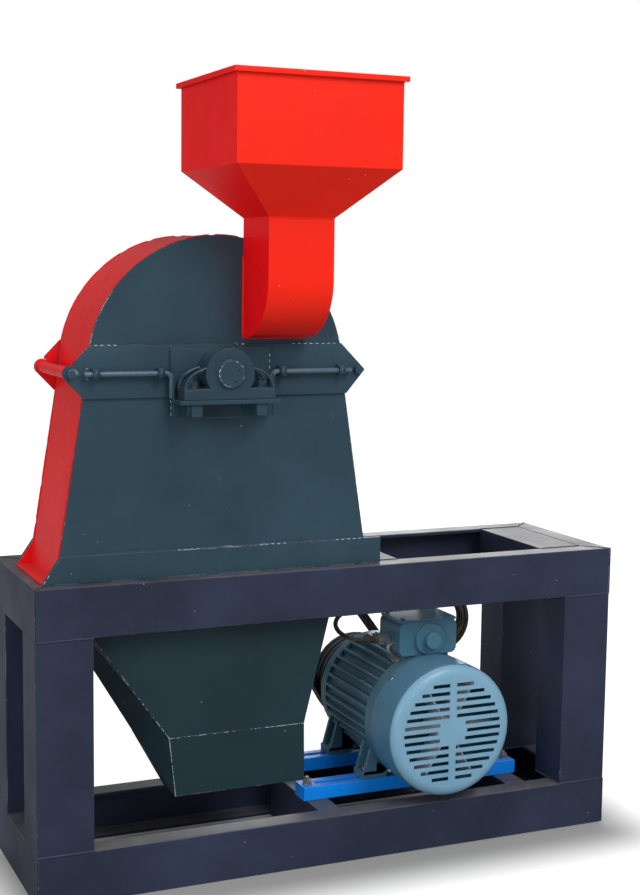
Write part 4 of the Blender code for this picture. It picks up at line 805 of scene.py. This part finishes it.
# ---------------------------------------------------------------- bearings
# Cast pillow blocks on shelves at both ends of the shaft, bolted down through their feet, with
# ribs beside each bolt and a grease nipple on top. The set screws turn with the shaft.
iron = enamel_finish("block_enamel", tint(42, 66, 80), tint(33, 55, 68), gloss=0.36, worn=0.44, reach=0.0022,
                     primer=(196, 200, 206), dust=0.15, marks=0.6, specular=0.35)
dress(["front_bearing", "back_bearing"], iron, 0.0016)
# A near-black paint, used as painted shade in the set screws' sockets.
socket_shade_paint = rubber_finish("socket_painted_shade", tint(13, 8, 6), tint(20, 13, 10))
BLOCK_BOLT_REACH = 0.0685
BLOCK_FOOT = 0.019
PAD_HALF, PAD_THICK, RIB_OUT = 0.0215, 0.0028, 0.0045


def add_bolt(bm, base, axis, size, stud=0.5):
    """Adds a washer, a hexagon nut and the end of a bolt; size is the thread's diameter."""
    up = Vector(axis).normalized()
    base = Vector(base)
    add_turned(bm, base, up, [(1.05 * size, 0), (1.08 * size, 0.04 * size), (1.05 * size, 0.16 * size),
                              (0.6 * size, 0.18 * size)], 28)
    nut = [(0.95 * size, 0), (1.02 * size, 0.08 * size), (1.02 * size, 0.72 * size),
           (0.90 * size, 0.84 * size), (0.5 * size, 0.85 * size)]
    add_turned(bm, base + up * 0.17 * size, up, nut, 6, phase=0.4)
    if stud:
        add_turned(bm, base + up * size, up, [(0.5 * size, 0), (0.5 * size, stud * size),
                                              (0.42 * size, (stud + 0.08) * size)], 20)


def add_box(bm, low, high):
    """Adds a plain box."""
    middle = (Vector(low) + Vector(high)) / 2
    size = Vector(high) - Vector(low)
    bmesh.ops.create_cube(bm, size=1.0, matrix=Matrix.Translation(middle) @ Matrix.Diagonal((*size, 1.0)))


for place, out in (("front", -1), ("back", 1)):
    low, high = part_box(place + "_bearing")
    face = low.y + 0.006 if out < 0 else high.y - 0.006
    rear = high.y if out < 0 else low.y
    middle_y = (face + rear) / 2
    foot_top = low.z + BLOCK_FOOT
    fittings = bmesh.new()
    screws = bmesh.new()
    socket_shades = bmesh.new()
    screw_y = shaft_front - 0.0020 if out < 0 else high.y + 0.0006
    screw_reach = 0.0150 if out < 0 else 0.0232
    for angle in (0.62, -1.05):
        spot = Vector((CASING_X, screw_y, SPLIT_Z)) + screw_reach * heading(angle)
        add_turned(screws, spot, (0, out, 0), [(0.0030, 0.0), (0.0030, 0.0010), (0.0024, 0.0014)], 16)
        # A dark hexagon on each screw is painted shade for its socket.
        socket = spot + Vector((0, out * 0.0013, 0))
        add_turned(socket_shades, socket, (0, out, 0), [(0.0015, 0.0), (0.0015, 0.0003)], 6)
    for side in (-1, 1):
        x = CASING_X + side * BLOCK_BOLT_REACH
        add_box(fittings, (x - PAD_HALF, min(face, rear) + 0.002, foot_top - 0.001),
                (x + PAD_HALF, max(face, rear) - 0.002, foot_top + PAD_THICK))
        add_bolt(fittings, (x, middle_y, foot_top + PAD_THICK), (0, 0, 1), 0.012, 0.45)
        add_turned(fittings, (x, middle_y, foot_top - BLOCK_FOOT - 0.0075), (0, 0, -1),
                   [(0.0125, 0), (0.0130, 0.002), (0.0130, 0.020), (0.0112, 0.024), (0.0040, 0.025)], 28)
        for y in (face - out * RIB_OUT, rear + out * RIB_OUT):
            rib = [Vector((CASING_X + side * reach, y, foot_top + height))
                   for reach, height in ((0.0890, -0.002), (0.0885, 0.006), (0.0850, 0.016), (0.0780, 0.026),
                                         (0.0680, 0.033), (0.0560, 0.038), (0.0440, 0.042))]
            add_sweep(fittings, rib, [0.0030, 0.0031, 0.0032, 0.0032, 0.0031, 0.0029, 0.0022], 10)
    lean = Vector((0.35, out * 0.35, 0.87)).normalized()
    nipple = Vector((CASING_X + 0.012, middle_y, SPLIT_Z + 0.0465))
    add_turned(fittings, nipple, lean, [(0.0045, 0), (0.0045, 0.004), (0.0026, 0.005), (0.0026, 0.009),
                                        (0.0034, 0.0105), (0.0030, 0.0125), (0.0012, 0.0135)], 14)
    mesh_piece(place + "_bearing_fittings", fittings, iron, "stand")
    mesh_piece(place + "_set_screws", screws, iron, "rotor")
    mesh_piece(place + "_socket_painted_shade", socket_shades, socket_shade_paint, "rotor")


# ---------------------------------------------------------------- belt drive
# Two two-groove pulleys of cast iron, each held by a key and two screws, and a banded V-belt.
pulley_iron = enamel_finish("pulley_enamel", tint(46, 60, 68), tint(38, 50, 58), gloss=0.4, worn=0.62,
                            primer=(150, 146, 140), dust=0.2)
dress(["rotor_pulley", "motor_pulley"], pulley_iron, 0.0005)
belt_rubber = rubber_finish("belt_rubber", tint(26, 26, 27), tint(46, 45, 43))
dress(["drive_belt"], belt_rubber, 0.0006)
for name, body, reach in (("rotor_pulley", "rotor", 0.031), ("motor_pulley", "motor_rotor", 0.036)):
    middle = place_of(name)
    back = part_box(name)[1].y
    screws = bmesh.new()
    for turn in (0, 1):
        angle = 0.7 + math.pi * turn
        spot = Vector((middle.x, back, middle.z)) + reach * heading(angle)
        add_turned(screws, spot, (0, 1, 0), [(0.0050, -0.001), (0.0050, 0.0025), (0.0040, 0.0034),
                                             (0.0024, 0.0034), (0.0024, 0.0008)], 20)
    add_turned(screws, Vector((middle.x, back, middle.z)), (0, 1, 0),
               [(reach - 0.009, -0.001), (reach - 0.009, 0.0018), (reach - 0.0105, 0.0024), (0.0215, 0.0024),
                (0.0215, -0.001)], 40, bored=True)
    add_box(screws, (middle.x - 0.0040, back - 0.002, middle.z + 0.0165),
            (middle.x + 0.0040, back + 0.003, middle.z + 0.0232))
    mesh_piece(name + "_screws", screws, steel, body)


# ---------------------------------------------------------------- slide rails
# Two slotted rails, in bright blue, bolted to the motor's cross channels at their ends.
blue = enamel_finish("rail_enamel", tint(6, 136, 240), tint(3, 120, 222), gloss=0.36, worn=0.42, dust=0.3)
dress(["slide_rail_front", "slide_rail_back"], blue, 0.0016)
zinc = worked_steel("zinc_plate", tint(178, 176, 172), tint(136, 134, 130), rough=0.38)
rail_bolts = bmesh.new()
for name in ("slide_rail_front", "slide_rail_back"):
    low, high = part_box(name)
    for x in (low.x + 0.017, high.x - 0.017):
        add_bolt(rail_bolts, (x, (low.y + high.y) / 2, high.z), (0, 0, 1), 0.010, 0.5)
mesh_piece("rail_bolts", rail_bolts, zinc, "stand")


# ---------------------------------------------------------------- motor
# Cast frame with cooling fins, end shields and feet, the pressed fan cover, its face painted lighter
# than its side as painted light and shade, and the box with its lid and gland. The feet are bolted through
# the rails.
motor_paint = enamel_finish("motor_enamel", tint(66, 110, 132), tint(54, 95, 116), gloss=0.36, worn=0.47,
                            dust=0.2, primer=(160, 186, 196))
cover_face_lit_paint = enamel_finish("fan_cover_face_painted_light", tint(122, 164, 188), tint(106, 150, 176), gloss=0.30,
                            worn=0.2, dust=0.12, marks=0.5)
cover_side_shade_paint = enamel_finish("fan_cover_side_painted_shade", tint(74, 120, 146), tint(64, 108, 132), gloss=0.30,
                           worn=0.2, dust=0.12, marks=0.5)
dress(["motor_frame"], motor_paint, 0.0012)
dress(["terminal_box"], motor_paint, 0.0016)
# Two copies of the cover paint: a lighter one on the face as painted light, a darker one on the side as
# painted shade.
dress(["fan_cover"], cover_side_shade_paint, 0.0005, front_finish=cover_face_lit_paint, front_from=0.22)
dress(["cooling_fan"], rubber_finish("fan_plastic", tint(206, 210, 214), tint(188, 192, 196)), 0.0005)
dress(["motor_shaft"], steel, 0.0005)

MOTOR_AXIS = place_of("motor_pulley")
QUARTERS = [heading(math.radians(45 + 90 * i)) for i in range(4)]


def on_motor(back):
    """A point on the motor's axis, that far behind the stand's front."""
    return Vector((MOTOR_AXIS.x, from_corner(0, back, 0).y, MOTOR_AXIS.z))


FOOT_PLACES = (0.128, 0.306)
foot_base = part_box("motor_frame")[0].z
foot_bolts = bmesh.new()
for x in (-0.116, 0.116):
    for y in FOOT_PLACES:
        spot = (MOTOR_AXIS.x + x, from_corner(0, y, 0).y, foot_base + 0.016)
        add_bolt(foot_bolts, spot, (0, 0, 1), 0.011, 0.7)
mesh_piece("foot_bolts", foot_bolts, zinc, "stand")

eye_bolt = bmesh.new()
outward = heading(math.radians(113))
root = on_motor(0.112) + outward * 0.128
add_turned(eye_bolt, root, outward, [(0.0160, -0.006), (0.0160, 0.008), (0.0130, 0.012), (0.0090, 0.014)], 24)
EYE_RADIUS, EYE_BAR = 0.0155, 0.0048
ring = [root + outward * (0.028 + EYE_RADIUS * math.sin(a)) + Vector((EYE_RADIUS * math.cos(a), 0, 0))
        for a in whole_turn(28)]
add_sweep(eye_bolt, ring, [EYE_BAR] * len(ring), 12)
mesh_piece("lifting_eye", eye_bolt, zinc, "stand")

castings = bmesh.new()
shoulder = [(0.1290, 0.0), (0.1384, 0.0005), (0.1388, 0.044), (0.1375, 0.047), (0.1270, 0.048)]
add_turned(castings, on_motor(0.050), (0, 1, 0), shoulder, 96, bored=True)
for outward in QUARTERS:
    add_bolt(castings, on_motor(0.3525) + outward * 0.108, (0, 1, 0), 0.008, 0.0)
FOOT_RIB = ((0.060, 0.015), (0.134, 0.015), (0.116, 0.080), (0.060, 0.080))
for side in (-1, 1):
    outline = [(MOTOR_AXIS.x + side * x, foot_base + z) for x, z in FOOT_RIB]
    for y in FOOT_PLACES:
        for near, far in ((y - 0.023, y - 0.015), (y + 0.015, y + 0.023)):
            add_plate(castings, outline, from_corner(0, near, 0).y, from_corner(0, far, 0).y)
box_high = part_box("terminal_box")[1]
body_low_y = from_corner(0, 0.076, 0).y
LID_HALF, LID_THICK = 0.066, 0.004
lid_left, lid_right = MOTOR_AXIS.x - LID_HALF, MOTOR_AXIS.x + LID_HALF
add_box(castings, (lid_left, body_low_y + 0.002, box_high.z - 0.002),
        (lid_right, box_high.y - 0.002, box_high.z + LID_THICK))
for x in (lid_left + 0.010, lid_right - 0.010):
    for y in (body_low_y + 0.012, box_high.y - 0.012):
        add_turned(castings, (x, y, box_high.z + LID_THICK), (0, 0, 1),
                   [(0.0050, -0.001), (0.0050, 0.0022), (0.0036, 0.0034), (0.0014, 0.0034)], 18)
mesh_piece("motor_castings", castings, motor_paint, "stand")

cover_screws = bmesh.new()
for outward in QUARTERS:
    add_turned(cover_screws, on_motor(0.051) + outward * 0.1400, outward,
               [(0.0058, 0), (0.0058, 0.0010), (0.0045, 0.0030), (0.0020, 0.0038)], 20)
mesh_piece("fan_cover_screws", cover_screws, zinc, "stand")

gland = bmesh.new()
for start, radius, length in ((0.028, 0.0165, 0.010), (0.014, 0.0150, 0.012)):
    nut = [(radius * 0.92, 0.0), (radius, 0.001), (radius, length - 0.001), (radius * 0.92, length)]
    add_turned(gland, Vector(LEAD_ROUTE[0]) + Vector((start, 0, 0)), (-1, 0, 0), nut, 6)
mesh_piece("gland_nuts", gland, zinc, "stand")


# ---------------------------------------------------------------- floor and light
# A plain pale floor, lifted to white for the camera away from the mill. The lift fades out round the
# stand, a painted shade in which the floor's own shadow shows; a large soft light high in front, weaker ones
# on the left and behind, a pale room.
FLOOR_HALF = 14.0
PAINTED_SHADE_WIDTH, FLOOR_GLOW = 0.20, 0.80
floor_data = bpy.data.meshes.new("floor")
corners = [(FLOOR_HALF * x, FLOOR_HALF * y, 0) for x, y in ((-1, -1), (1, -1), (1, 1), (-1, 1))]
floor_data.from_pydata(corners, [], [(0, 1, 2, 3)])
floor = bpy.data.objects.new("floor", floor_data)
bpy.context.scene.collection.objects.link(floor)
floor_finish = bpy.data.materials.new("floor_paint")
floor_finish.use_nodes = True
tree = floor_finish.node_tree
shader = tree.nodes["Principled BSDF"]
shader.inputs["Base Color"].default_value = (0.35, 0.35, 0.35, 1.0)
shader.inputs["Roughness"].default_value = 0.9
shader.inputs["Specular IOR Level"].default_value = 0.1
shader.inputs["Emission Color"].default_value = (1.0, 1.0, 1.0, 1.0)
here = add_node(tree, "NewGeometry").outputs["Position"]
stand_middle = (0.0, (cad_box[0].y + 0.36) / 2 - 0.03, 0.0)
for operation, value in (("SUBTRACT", stand_middle), ("ABSOLUTE", (0.0, 0.0, 0.0)),
                         ("SUBTRACT", (0.60, 0.16, 9.0)), ("MAXIMUM", (0.0, 0.0, 0.0))):
    here = add_node(tree, "VectorMath", {0: here, 1: value}, operation=operation).outputs[0]
away = add_node(tree, "VectorMath", {0: here}, operation="LENGTH").outputs["Value"]
# Past the stand's footprint the camera glow fades in over this width; the darker zone inside it is painted
# shade.
fade = add_node(tree, "MapRange", {0: away, 1: 0.0, 2: PAINTED_SHADE_WIDTH}, interpolation_type="SMOOTHSTEP")
glow_outside_painted_shade = fade.outputs[0]
seen = add_node(tree, "LightPath").outputs["Is Camera Ray"]
glow = math_node(tree, "MULTIPLY", seen, math_node(tree, "MULTIPLY", glow_outside_painted_shade, FLOOR_GLOW))
tree.links.new(glow, shader.inputs["Emission Strength"])
floor_data.materials.append(floor_finish)

world = bpy.data.worlds.new("room")
world.use_nodes = True
bpy.context.scene.world = world
tree = world.node_tree
background = tree.nodes["Background"]
path = add_node(tree, "LightPath").outputs
background.inputs["Color"].default_value = (1.0, 1.0, 1.0, 1.0)
clear = math_node(tree, "MAXIMUM", path["Is Camera Ray"], path["Is Transmission Ray"])
room = spread_out(tree, path["Is Glossy Ray"], 0.0, 1.0, 0.74, 0.16)
strength = math_node(tree, "MAXIMUM", clear, room)
tree.links.new(strength, background.inputs["Strength"])


def soft_light(name, at, towards, size, power):
    """A square soft light."""
    lamp = bpy.data.lights.new(name, "AREA")
    lamp.shape = "SQUARE"
    lamp.size = size
    lamp.energy = power
    light = bpy.data.objects.new(name, lamp)
    light.location = at
    light.rotation_euler = (Vector(towards) - Vector(at)).to_track_quat("-Z", "Y").to_euler()
    bpy.context.scene.collection.objects.link(light)


soft_light("front_light", (0.8, -4.2, 4.6), (0.0, 0.0, 0.9), 2.6, 170.0)
soft_light("back_light", (2.9, 4.9, 1.7), (0.3, 0.0, 0.6), 2.4, 70.0)
soft_light("left_light", (-4.6, -3.2, 1.6), (-0.2, 0.0, 0.7), 2.2, 85.0)

bpy.context.scene.view_settings.view_transform = "Standard"
